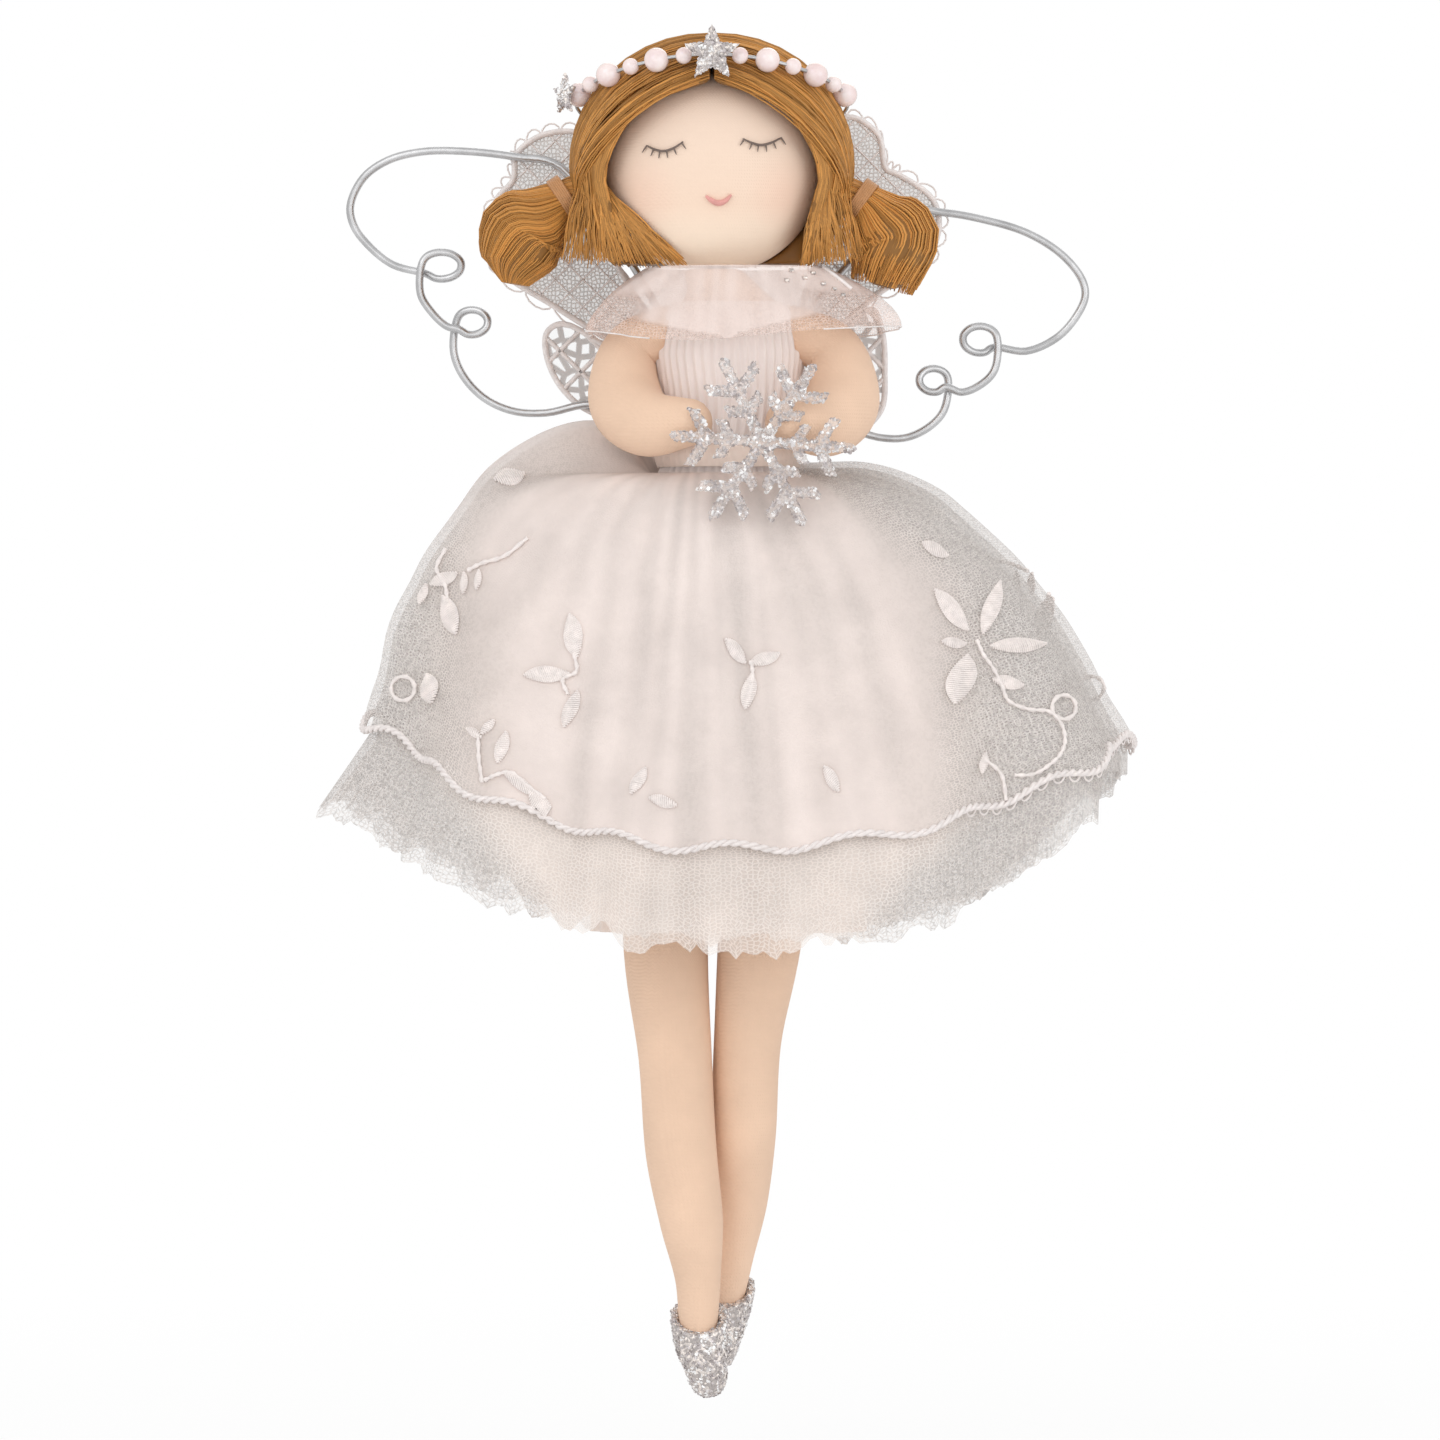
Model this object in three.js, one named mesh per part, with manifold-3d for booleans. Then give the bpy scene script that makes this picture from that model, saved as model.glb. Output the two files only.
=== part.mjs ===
// A hanging fabric doll dressed as a lace angel: a stuffed knit body, gathered hair with a bead headband,
// layered tulle and lace skirts, a glitter snowflake in the hands and bent wire wings backed with lace.
// Millimetres, +Z up, the doll faces -Y, and the origin is the crown of the hair, where the doll hangs.
import * as THREE from "three";
import { mergeVertices } from "three/addons/utils/BufferGeometryUtils.js";
import Module from "manifold-3d";

// Fits and cloth
const CLEARANCE = 0.3; // air between two pieces that touch
const CLOTH = 0.5; // one layer of dress cloth
const LAYER_AIR = 0.45; // air between two layers of the skirt

// Head
const HEAD_WIDTH = 33;
const HEAD_DEPTH = 27;
const HEAD_HEIGHT = 31.5;
const NECK_RADIUS = 4.6;

// Face, from the middle of the head
const EYE_SPREAD = 14.4; // between the middles of the eyes
const EYE_UP = 3.2;
const EYE_WIDTH = 5;
const EYE_DIP = 1; // how far the closed lid sags
const LASH_LENGTH = 1.3;
const LASH_COUNT = 4;
const FACE_THREAD = 0.5; // diameter of the face's thread
const MOUTH_WIDTH = 3.8;
const MOUTH_DROP = 5;
const MOUTH_DIP = 1;

// Hair
const HAIR_SIDE = 4.4;
const HAIR_TOP = 4.4;
const HAIR_BACK = 3;
const HAIR_DROP = 14.2; // from the middle of the head to the ends of the hair
const FACE_FRAME_WIDTH = 31.4; // opening of the hair around the face
const FACE_FRAME_TOP = 12.6;
const FACE_FRAME_BROW = 8.4; // height where the opening is two thirds as wide
const PARTING = 0.4;
const BUNCH_NECK = 2.4; // radius of a bunch of hair where it is tied
const BUNCH_SWELL = 6.6; // radius of the bunch at its fullest
const BUNCH_ROOT = 4; // how deep the bunch starts behind its tie
const TIE_THREAD = 1.2;

// Bead headband and stars
const BAND_FRONT = 15; // height of the band above the middle of the head at the front
const BAND_SIDE = 9.6; // and at the sides
const BAND_STRING = 0.6;
const LARGE_BEAD = 3.7;
const SMALL_BEAD = 2.5;
const BEAD_AIR = 1.1; // string that shows between two beads
const BEAD_PAIRS = 6; // beads on each side of the front one
const STAR_POINTS = 5;
const CROWN_STAR_RADIUS = 4.3;
const SIDE_STAR_RADIUS = 3.2;
const STAR_WAIST = 0.42; // inner radius of a star, as a share of its outer one
const STAR_THICK = 1.1;
const SIDE_STAR_FACING = -60; // degrees round from the front

// Torso: widths, and drops from the chin
const TORSO_SHIFT = 2.5; // the torso stands this far towards +X of the head
const TORSO_FLATNESS = 0.714; // its depth, as a share of its width
const SHOULDER_WIDTH = 19;
const CHEST_WIDTH = 21;
const WAIST_WIDTH = 17;
const HIP_WIDTH = 25;
const SHOULDER_DROP = 6;
const CHEST_DROP = 12;
const WAIST_DROP = 27;
const HIP_DROP = 37;
const SEAT_DROP = 42.6;
const SEAT_ROUND = 2.6; // height of the round of the seat
const NECK_FLARE = 1.4; // the neck widens this much to the shoulders

// Arms
const ARM_ROOT_DROP = 2.6; // below the shoulder
const UPPER_ARM_DROP = 5.6;
const ELBOW_RISE = 3.6; // above the hand
const SHOULDER_RADIUS = 4.4;
const ELBOW_RADIUS = 5.6;
const HAND_RADIUS = 3.6;
const HAND_REACH = 12.8; // how far the hands come forward
const HAND_RISE = 4.4; // the hands' height above the waist

// Dress
const BODICE_TOP = 4; // below the chin
const COLLAR_TOP_WIDTH = 27;
const COLLAR_HEM_WIDTH = 46;
const COLLAR_TOP_DEPTH = 19;
const COLLAR_HEM_DEPTH = 23;
const COLLAR_HEIGHT = 10.6;
const COLLAR_SHIFT = 1.2; // the collar's middle from the torso's
const COLLAR_LEAN = 2.4; // and before it
const WAISTBAND_HEIGHT = 4;
const WAISTBAND_WALL = 0.9;
const WAISTBAND_EASE = 1; // gathers under the waistband

// Skirt layers
const DOME_LEFT = 53.5; // reach of the lace hem to -X of the torso's middle
const DOME_RIGHT = 59.5; // and to +X
const DOME_DEPTH = 27; // and to the front and the back
const LEFT_POWER = 0.2; // how quickly the skirt springs out from the waist at -X
const RIGHT_POWER = 0.38; // and at +X
const FRONT_POWER = 0.55; // and at the front, behind the hands
const LACE_LENGTH = 59.5; // from the waist straight to the lace hem
const LACE_SLANT = 3.2; // the lace is this much longer at its +X side, and shorter at -X
const TULLE_BELOW = 13.5; // how far the outer tulle hangs below the lace
const INNER_TULLE_BELOW = 11;
const TULLE_TAPER = 0.75; // the share of that which is missing at the +X corner
const SPRING_LEFT = 0.57; // how far the tulle springs out at -X for each millimetre below the lace
const SPRING_RIGHT = -0.15; // and at +X, where it draws in
const TULLE_CRINKLE = 0.6;
const LEFT_PUFF = 9; // how high the gathers stand up beside and behind the waist at -X
const RIGHT_PUFF = 2.5; // and at +X
const FOLDS = 10;
const FOLD_DEPTH = 1.7;
const SCALLOP = 1.6;
const SLIP_WIDTH = 41;
const SLIP_INSET = 6.5; // how far the slip's hem lies behind the lace hem at the front
const SLIP_LENGTH = 66;

// Legs and shoes
const HIP_SPREAD = 14; // between the middles of the hips
const THIGH_RADIUS = 6.4;
const KNEE_RADIUS = 5.5;
const CALF_RADIUS = 4.7;
const ANKLE_RADIUS = 3.4;
const TOE_RADIUS = 1.5;
const REAR_SLIMNESS = 0.92; // the rear leg's calf beside the front one's
const FRONT_LEG = 117.6; // from the hip to the toe
const REAR_LEG = 114;
const SHOE_WALL = 1.2;
const SHOE_HEIGHT = 11.3; // from the toe to the heel tab
const SHOE_SLANT = 0.65; // how steeply the opening falls to the front

// Snowflake
const FLAKE_RADIUS = 13.2;
const FLAKE_THICK = 1;
const FLAKE_BAR = 1.5;
const FLAKE_ARMS = 6;
const FLAKE_TURN = -4; // degrees
const FLAKE_OUT = 5; // the flake's middle from the torso's
const FLAKE_RISE = 1.4; // and above the waist
const INNER_TWIG = 2.4;
const OUTER_TWIG = 4;
const INNER_TWIG_AT = 5.2; // from the flake's middle
const OUTER_TWIG_AT = 8.6;

// Wings
const WIRE = 1.2;
const PATCH_WIDTH = 7.4;
const PATCH_HEIGHT = 11;
const PATCH_THICK = 2.4;
const PATCH_DROP = 18.2; // the patch's middle below the chin
const ROOT_GAP = 3.5; // the two ends of a wing lie this far above and below the patch's middle
const WING_SWEEP = 0.1; // the wing leans back this much for each millimetre outwards
const CURL_STEP = 1.8; // depth between the two strands where a curl crosses itself
const LACE_BAR = 1.1; // strip of lace between two gaps
const LACE_GAP = 2.9; // half the diagonal of a gap

// Facets
const HEAD_SIDES = 18;
const HEAD_RINGS = 8;
const HAIR_SIDES = 24;
const HAIR_RINGS = 9;
const TORSO_SIDES = 18;
const LIMB_SIDES = 11;
const LIMB_STEPS = 9;
const SKIRT_SIDES = 40;
const SKIRT_ROWS = 5;
const SLIP_SIDES = 24;
const COLLAR_SIDES = 24;
const WIRE_SIDES = 5;
const CURL_STEPS = 8;

const headAxes = new THREE.Vector3(HEAD_WIDTH / 2, HEAD_DEPTH / 2, HEAD_HEIGHT / 2);
const hairAxes = headAxes.clone().add(new THREE.Vector3(HAIR_SIDE, HAIR_BACK, HAIR_TOP));
const headAt = new THREE.Vector3(0, 0, -hairAxes.z);
const bodyAt = new THREE.Vector3(TORSO_SHIFT, 0, headAt.z - headAxes.z);

const { degToRad, lerp, mapLinear, smoothstep } = THREE.MathUtils;
const wasm = await Module();
wasm.setup();

function finish(color, roughness, metalness = 0) {
  return new THREE.MeshStandardMaterial({ color, roughness, metalness });
}

const skin = finish(0xf0d2b8, 0.85);
const lashThread = finish(0x5d4a42, 0.7);
const lipThread = finish(0xe79a96, 0.7);
const hair = finish(0xa9763f, 0.6);
const hairTie = finish(0xc58f5e, 0.5);
const pearl = finish(0xf3dfe0, 0.25);
const glitter = finish(0xc9cbd0, 0.3, 0.7);
const tulle = finish(0xe9e4e2, 0.8);
const lace = finish(0xf4eeee, 0.8);
const satin = finish(0xf0e2de, 0.5);
const silver = finish(0xb9bbbe, 0.3, 0.9);
const felt = finish(0xf2ece8, 0.95);

// The doll's groups: the head about its middle, and the body hanging from the chin.
const doll = new THREE.Group();
const headGroup = new THREE.Group();
const bodyGroup = new THREE.Group();
headGroup.position.copy(headAt);
bodyGroup.position.copy(bodyAt);
doll.add(headGroup, bodyGroup);

function piece(parent, name, geometry, material) {
  const mesh = new THREE.Mesh(geometry, material);
  mesh.name = name;
  parent.add(mesh);
  return mesh;
}

// Collects the points and triangles of one closed surface out of rings of points.
class Surface {
  points = [];
  faces = [];

  ring(points) {
    const first = this.points.length;
    this.points.push(...points);
    return { first, count: points.length };
  }

  // Joins two rings that run the same way round, facing away from their axis or, inside, towards it.
  band(low, high, inside = false) {
    for (let k = 0; k < low.count; k++) {
      const next = (k + 1) % low.count;
      const [a, b, c, d] = [low.first + k, low.first + next, high.first + next, high.first + k];
      if (inside) this.faces.push(a, c, b, a, d, c);
      else this.faces.push(a, b, c, a, c, d);
    }
  }

  bands(rings, inside = false) {
    for (let i = 1; i < rings.length; i++) this.band(rings[i - 1], rings[i], inside);
  }

  // Closes a ring with a fan that faces along the run of the rings, or against it.
  cap(ring, tip, against = false) {
    const centre = this.points.push(tip) - 1;
    for (let k = 0; k < ring.count; k++) {
      const next = (k + 1) % ring.count;
      if (against) this.faces.push(ring.first + next, ring.first + k, centre);
      else this.faces.push(ring.first + k, ring.first + next, centre);
    }
  }

  geometry() {
    const made = new THREE.BufferGeometry().setFromPoints(this.points);
    made.setIndex(this.faces);
    return made;
  }
}

function middle(points) {
  const sum = points.reduce((total, p) => total.add(p), new THREE.Vector3());
  return sum.divideScalar(points.length);
}

// A solid through a run of rings, closed at both ends.
function loft(rings, tip = middle(rings.at(-1)), start = middle(rings[0])) {
  const made = new Surface();
  const placed = rings.map((r) => made.ring(r));
  made.bands(placed);
  made.cap(placed[0], start, true);
  made.cap(placed.at(-1), tip);
  return made.geometry();
}

// A shell open at both ends, between an outer and an inner run of rings.
function sleeve(outer, inner) {
  const made = new Surface();
  const outside = outer.map((r) => made.ring(r));
  const inside = inner.map((r) => made.ring(r));
  made.bands(outside);
  made.bands(inside, true);
  made.band(inside[0], outside[0]);
  made.band(outside.at(-1), inside.at(-1));
  return made.geometry();
}

// Points round an upright axis, counter-clockwise from above.
function ellipse(x, y, z, halfWidth, halfDepth, sides) {
  return Array.from({ length: sides }, (_, k) => {
    const angle = (k / sides) * 2 * Math.PI;
    return new THREE.Vector3(x + halfWidth * Math.cos(angle), y + halfDepth * Math.sin(angle), z);
  });
}

// Round rings along a run of points, carried along without twist.
function ringsAlong(points, radii, sides, closed = false) {
  const count = points.length;
  const tangents = points.map((_, i) => {
    const before = points[closed ? (i + count - 1) % count : Math.max(i - 1, 0)];
    const after = points[closed ? (i + 1) % count : Math.min(i + 1, count - 1)];
    return after.clone().sub(before).normalize();
  });
  const across = Math.abs(tangents[0].y) < 0.9 ? new THREE.Vector3(0, 1, 0) : new THREE.Vector3(1, 0, 0);
  return points.map((p, i) => {
    const along = tangents[i];
    across.addScaledVector(along, -across.dot(along)).normalize();
    const other = along.clone().cross(across);
    return Array.from({ length: sides }, (_, k) => {
      const angle = (k / sides) * 2 * Math.PI;
      const out = across.clone().multiplyScalar(Math.cos(angle)).addScaledVector(other, Math.sin(angle));
      return p.clone().addScaledVector(out, radii[i]);
    });
  });
}

// A thread along points, capped flat at both ends.
function thread(points, radii, sides) {
  return loft(ringsAlong(points, radii, sides));
}

function toSolid(geometry) {
  const bare = geometry.clone();
  bare.deleteAttribute("normal");
  bare.deleteAttribute("uv");
  const merged = mergeVertices(bare, 1e-4);
  return new wasm.Manifold(
    new wasm.Mesh({
      numProp: 3,
      vertProperties: merged.attributes.position.array,
      triVerts: new Uint32Array(merged.index.array),
    }),
  );
}

function toGeometry(solid) {
  const mesh = solid.getMesh();
  const made = new THREE.BufferGeometry();
  made.setAttribute("position", new THREE.BufferAttribute(mesh.vertProperties, 3));
  made.setIndex(new THREE.BufferAttribute(mesh.triVerts, 1));
  return made;
}

function box(low, high) {
  const size = high.clone().sub(low);
  const centre = low.clone().add(high).multiplyScalar(0.5);
  return new THREE.BoxGeometry(size.x, size.y, size.z).translate(centre.x, centre.y, centre.z);
}

// Head, in its own frame

// Rings of an ellipsoid from a height to its top.
function domeRings(axes, offset, fromHeight, sides, count) {
  const grown = axes.clone().addScalar(offset);
  const start = Math.asin(fromHeight / grown.z);
  return Array.from({ length: count }, (_, i) => {
    const latitude = lerp(start, Math.PI / 2, i / count);
    const share = Math.cos(latitude);
    return ellipse(0, 0, grown.z * Math.sin(latitude), grown.x * share, grown.y * share, sides);
  });
}

function domeTip(axes, offset) {
  return new THREE.Vector3(0, 0, axes.z + offset);
}

// The head sits flat on the neck, at the height where it is as shallow as the neck is wide.
const neckSeat = -headAxes.z * Math.sqrt(1 - ((NECK_RADIUS + CLEARANCE) / headAxes.y) ** 2);

function headShape(offset) {
  const rings = domeRings(headAxes, offset, neckSeat - offset, HEAD_SIDES, HEAD_RINGS);
  return loft(rings, domeTip(headAxes, offset));
}

// A point of a thread that lies on the front of the head.
function onFace(x, z) {
  const y = -headAxes.y * Math.sqrt(1 - (x / headAxes.x) ** 2 - (z / headAxes.z) ** 2);
  const at = new THREE.Vector3(x, y, z);
  const out = at.clone().divide(headAxes).divide(headAxes).normalize();
  return at.addScaledVector(out, CLEARANCE + FACE_THREAD / 2);
}

// A sagging line on the face, about the middle between its ends.
function faceLine(x, z, width, dip, steps) {
  return Array.from({ length: steps + 1 }, (_, i) => {
    const share = (2 * i) / steps - 1;
    return onFace(x + (share * width) / 2, z - dip * (1 - share * share));
  });
}

function addEye(side, name) {
  const x = (side * EYE_SPREAD) / 2;
  const radius = FACE_THREAD / 2;
  const lid = faceLine(x, EYE_UP, EYE_WIDTH, EYE_DIP, 6);
  let eye = toSolid(thread(lid, Array(lid.length).fill(radius), 5));
  for (let i = 0; i < LASH_COUNT; i++) {
    const share = 0.84 * ((2 * i) / (LASH_COUNT - 1) - 1);
    const rootX = x + (share * EYE_WIDTH) / 2;
    const rootZ = EYE_UP - EYE_DIP * (1 - share * share);
    const lash = [onFace(rootX, rootZ), onFace(rootX + 0.6 * share * LASH_LENGTH, rootZ - LASH_LENGTH)];
    eye = eye.add(toSolid(thread(lash, [radius, radius / 2], 5)));
  }
  piece(headGroup, name, toGeometry(eye), lashThread);
}

function addFace() {
  addEye(-1, "left_eyelash");
  addEye(1, "right_eyelash");
  const smile = faceLine(0, -MOUTH_DROP, MOUTH_WIDTH, MOUTH_DIP, 6);
  const lips = smile.map((_, i) => (FACE_THREAD / 2) * (0.7 + 0.5 * Math.sin((i / 6) * Math.PI)));
  piece(headGroup, "mouth_stitch", thread(smile, lips, 5), lipThread);
}

function hairShape(offset) {
  return loft(domeRings(hairAxes, offset, -HAIR_DROP, HAIR_SIDES, HAIR_RINGS), domeTip(hairAxes, offset));
}

// The opening of the hair around the face, as a prism from the middle of the head forward.
function faceFrame() {
  const half = FACE_FRAME_WIDTH / 2;
  const low = hairAxes.z;
  const side = [
    new THREE.Vector2((half * 2) / 3, FACE_FRAME_BROW),
    new THREE.Vector2(half, 0),
    new THREE.Vector2(half * 0.93, -HAIR_DROP / 2),
    new THREE.Vector2(half * 0.75, -low),
  ];
  const outline = new THREE.Shape();
  outline.moveTo(0, FACE_FRAME_TOP);
  outline.splineThru(side);
  outline.lineTo(-half * 0.75, -low);
  const back = side.slice(0, 3).map((p) => new THREE.Vector2(-p.x, p.y));
  outline.splineThru([...back.reverse(), new THREE.Vector2(0, FACE_FRAME_TOP)]);
  const settings = { depth: 2 * hairAxes.y, bevelEnabled: false, curveSegments: 3 };
  return toSolid(new THREE.ExtrudeGeometry(outline, settings).rotateX(Math.PI / 2));
}

function addHair() {
  const whole = toSolid(hairShape(0)).subtract(toSolid(headShape(CLEARANCE))).subtract(faceFrame());
  const reach = 2 * hairAxes.length();
  const low = new THREE.Vector3(-reach, -reach, -reach);
  const high = new THREE.Vector3(reach, reach, reach);
  const left = toSolid(box(low, high.clone().setX(-PARTING / 2)));
  const right = toSolid(box(low.clone().setX(PARTING / 2), high));
  piece(headGroup, "left_hair", toGeometry(whole.intersect(left)), hair);
  piece(headGroup, "right_hair", toGeometry(whole.intersect(right)), hair);
}

// A bunch of hair at the side of the head: a thin tied neck, a full swell and a round end.
// Its points are out from the hair's side and up from the middle of the head.
const BUNCH_ROUTES = {
  left: { tie: [1.1, -4.2], swell: [7.4, -9.6], end: [8.6, -17.2] },
  right: { tie: [1.1, -4.6], swell: [6.6, -10.4], end: [4.6, -17.6] },
};

function addBunch(side, word) {
  const route = BUNCH_ROUTES[word];
  const at = ([out, up]) => new THREE.Vector3(side * (hairAxes.x + out), 0, up);
  const [tie, swell, end] = [at(route.tie), at(route.swell), at(route.end)];
  const root = tie.clone().add(new THREE.Vector3(-side * BUNCH_ROOT, 0, BUNCH_ROOT / 4));
  const stations = [root, tie, swell.clone().lerp(tie, 0.4), swell, swell.clone().lerp(end, 0.55), end];
  const neck = [1.25, 1].map((share) => share * BUNCH_NECK);
  const full = [0.82, 1, 0.84, 0.3].map((share) => share * BUNCH_SWELL);
  const centre = new THREE.CatmullRomCurve3(stations);
  const widths = new THREE.CatmullRomCurve3([...neck, ...full].map((r, i) => new THREE.Vector3(i, r, 0)));
  const steps = 10;
  const points = centre.getPoints(steps);
  const radii = points.map((_, i) => widths.getPoint(i / steps).y);
  const scalp = toSolid(hairShape(CLEARANCE));
  const bunch = toSolid(thread(points, radii, 10));
  piece(headGroup, `${word}_bunch`, toGeometry(bunch.subtract(scalp)), hair);

  const along = centre.getTangent(1 / (stations.length - 1));
  const radius = 1.12 * BUNCH_NECK + CLEARANCE + TIE_THREAD / 2;
  const ring = new THREE.TorusGeometry(radius, TIE_THREAD / 2, 6, 12);
  ring.applyQuaternion(new THREE.Quaternion().setFromUnitVectors(new THREE.Vector3(0, 0, 1), along));
  tie.addScaledVector(along, TIE_THREAD / 2);
  ring.translate(tie.x, tie.y, tie.z);
  const room = toSolid(thread(points, radii.map((r) => r + CLEARANCE), 10));
  piece(headGroup, `${word}_hair_tie`, toGeometry(toSolid(ring).subtract(scalp).subtract(room)), hairTie);
}

const bandOffset = LARGE_BEAD / 2 + CLEARANCE;

// The line of the headband round the hair. Degrees run from the front towards +X.
function bandPoint(degrees, offset = bandOffset) {
  const angle = degToRad(degrees);
  const up = lerp(BAND_SIDE, BAND_FRONT, Math.cos(angle));
  const share = Math.sqrt(1 - (up / hairAxes.z) ** 2);
  const [x, y] = [hairAxes.x * share * Math.sin(angle), -hairAxes.y * share * Math.cos(angle)];
  const at = new THREE.Vector3(x, y, up);
  const out = at.clone().divide(hairAxes).divide(hairAxes).normalize();
  return at.addScaledVector(out, offset);
}

// Where the beads lie on one side, in degrees from the front one, strung at an even pitch.
function beadAngles() {
  const pitch = (LARGE_BEAD + SMALL_BEAD) / 2 + BEAD_AIR;
  const angles = [0];
  for (let i = 0; i < BEAD_PAIRS; i++) {
    const from = angles.at(-1);
    const perDegree = bandPoint(from + 12).distanceTo(bandPoint(from + 2)) / 10;
    angles.push(from + pitch / perDegree);
  }
  return angles;
}

function beadShape(radius) {
  const bore = BAND_STRING / 2 + CLEARANCE;
  const half = Math.sqrt(radius * radius - bore * bore);
  const opening = Math.asin(bore / radius);
  const arc = Array.from({ length: 5 }, (_, k) => {
    const angle = lerp(opening, Math.PI - opening, k / 4);
    return new THREE.Vector2(radius * Math.sin(angle), -radius * Math.cos(angle));
  });
  const hole = [half, -half].map((y) => new THREE.Vector2(bore, y));
  return new THREE.LatheGeometry([...arc, ...hole, arc[0]], 8);
}

function addHeadband() {
  const angles = beadAngles();
  const last = angles.at(-1);
  const steps = 32;
  const string = Array.from({ length: steps }, (_, i) => {
    const degrees = (i / steps) * 360 - 180;
    const bare = smoothstep(Math.abs(degrees), last + 8, last + 40);
    return bandPoint(degrees, lerp(bandOffset, BAND_STRING / 2 + CLEARANCE, bare));
  });
  const loop = new Surface();
  const rings = ringsAlong(string, Array(steps).fill(BAND_STRING / 2), 4, true).map((r) => loop.ring(r));
  loop.bands([...rings, rings[0]]);
  piece(headGroup, "headband_string", loop.geometry(), silver);

  const row = [...angles.slice(1).map((a) => -a).reverse(), ...angles];
  row.forEach((degrees, i) => {
    const size = (i - BEAD_PAIRS) % 2 === 0 ? LARGE_BEAD : SMALL_BEAD;
    const bead = piece(headGroup, `headband_bead_${i + 1}`, beadShape(size / 2), pearl);
    bead.position.copy(bandPoint(degrees));
    const along = bandPoint(degrees + 2).sub(bandPoint(degrees - 2)).normalize();
    bead.quaternion.setFromUnitVectors(new THREE.Vector3(0, 1, 0), along);
  });
  addStar("crown_star", CROWN_STAR_RADIUS, 0, 0);
  addStar("side_star", SIDE_STAR_RADIUS, -last, SIDE_STAR_FACING);
}

// A star that stands on a bead of the headband, its back against the bead.
function addStar(name, radius, degrees, facing) {
  const corners = Array.from({ length: 2 * STAR_POINTS }, (_, i) => {
    const reach = i % 2 === 0 ? radius : radius * STAR_WAIST;
    const angle = Math.PI / 2 + (i * Math.PI) / STAR_POINTS;
    return new THREE.Vector2(reach * Math.cos(angle), reach * Math.sin(angle));
  });
  const shape = new THREE.Shape(corners);
  const made = new THREE.ExtrudeGeometry(shape, { depth: STAR_THICK, bevelEnabled: false });
  const star = piece(headGroup, name, made.rotateX(Math.PI / 2), glitter);
  const out = new THREE.Vector3(Math.sin(degToRad(facing)), -Math.cos(degToRad(facing)), 0);
  star.rotation.z = degToRad(facing);
  star.position.copy(bandPoint(degrees)).addScaledVector(out, LARGE_BEAD / 2 + CLEARANCE);
}

// Body, in a frame at the chin over the torso's middle

// Half widths of the torso, from the seat up to the neck.
const torsoStations = [
  { z: -SEAT_DROP, half: HIP_WIDTH * 0.36 },
  { z: -SEAT_DROP + SEAT_ROUND, half: HIP_WIDTH * 0.46 },
  { z: -HIP_DROP, half: HIP_WIDTH / 2 },
  { z: -WAIST_DROP, half: WAIST_WIDTH / 2 },
  { z: -CHEST_DROP, half: CHEST_WIDTH / 2 },
  { z: -SHOULDER_DROP, half: SHOULDER_WIDTH / 2 },
  { z: -SHOULDER_DROP / 2, half: NECK_RADIUS + NECK_FLARE },
];
const neckTop = headAxes.z + neckSeat - CLEARANCE;
const bodiceOffset = CLEARANCE + CLOTH;

function torsoRing({ z, half }, offset) {
  return ellipse(0, 0, z, half + offset, half * TORSO_FLATNESS + offset, TORSO_SIDES);
}

// The neck leans from the torso to the middle of the head.
function neckRing(offset) {
  return ellipse(-TORSO_SHIFT, 0, neckTop, NECK_RADIUS + offset, NECK_RADIUS + offset, TORSO_SIDES);
}

// The torso from the seat up to the neck, moved out by an offset.
function torsoShape(offset) {
  const rings = torsoStations.map((s) => torsoRing(s, offset));
  rings[0].forEach((p) => (p.z -= offset));
  return loft([...rings, neckRing(offset)]);
}

function halfWidthAt(z) {
  const above = torsoStations.findIndex((s) => s.z >= z);
  const [low, high] = [torsoStations[above - 1], torsoStations[above]];
  return mapLinear(z, low.z, high.z, low.half, high.half);
}

// A stuffed limb along its stations, moved out by an offset. Its far end is round.
function limbShape(stations, offset, roundStart) {
  const centre = new THREE.CatmullRomCurve3(stations.map((s) => s.at));
  const widths = new THREE.CatmullRomCurve3(stations.map((s, i) => new THREE.Vector3(i, s.radius, 0)));
  const points = centre.getPoints(LIMB_STEPS);
  const radii = points.map((_, i) => widths.getPoint(i / LIMB_STEPS).y + offset);
  const dome = (t, end, radius, degrees) => {
    const angle = degToRad(degrees);
    const at = centre.getPoint(t).addScaledVector(centre.getTangent(t), end * radius * Math.sin(angle));
    return { at, radius: radius * Math.cos(angle) };
  };
  const near = roundStart ? [62, 32].map((d) => dome(0, -1, radii[0], d)) : [];
  const far = [35, 65].map((d) => dome(1, 1, radii.at(-1), d));
  const allPoints = [...near.map((d) => d.at), ...points, ...far.map((d) => d.at)];
  const allRadii = [...near.map((d) => d.radius), ...radii, ...far.map((d) => d.radius)];
  return loft(ringsAlong(allPoints, allRadii, LIMB_SIDES), dome(1, 1, radii.at(-1), 90).at);
}

// An arm from the shoulder round to the hand in front: out from the torso's middle, forward and up.
const SHOULDER_OUT = { left: 14.6, right: 15.6 };
const ELBOW_OUT = { left: 15.4, right: 17 };
const FOREARM_OUT = { left: 12, right: 14.4 };
const HAND_OUT = { left: 6, right: 9 };

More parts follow.
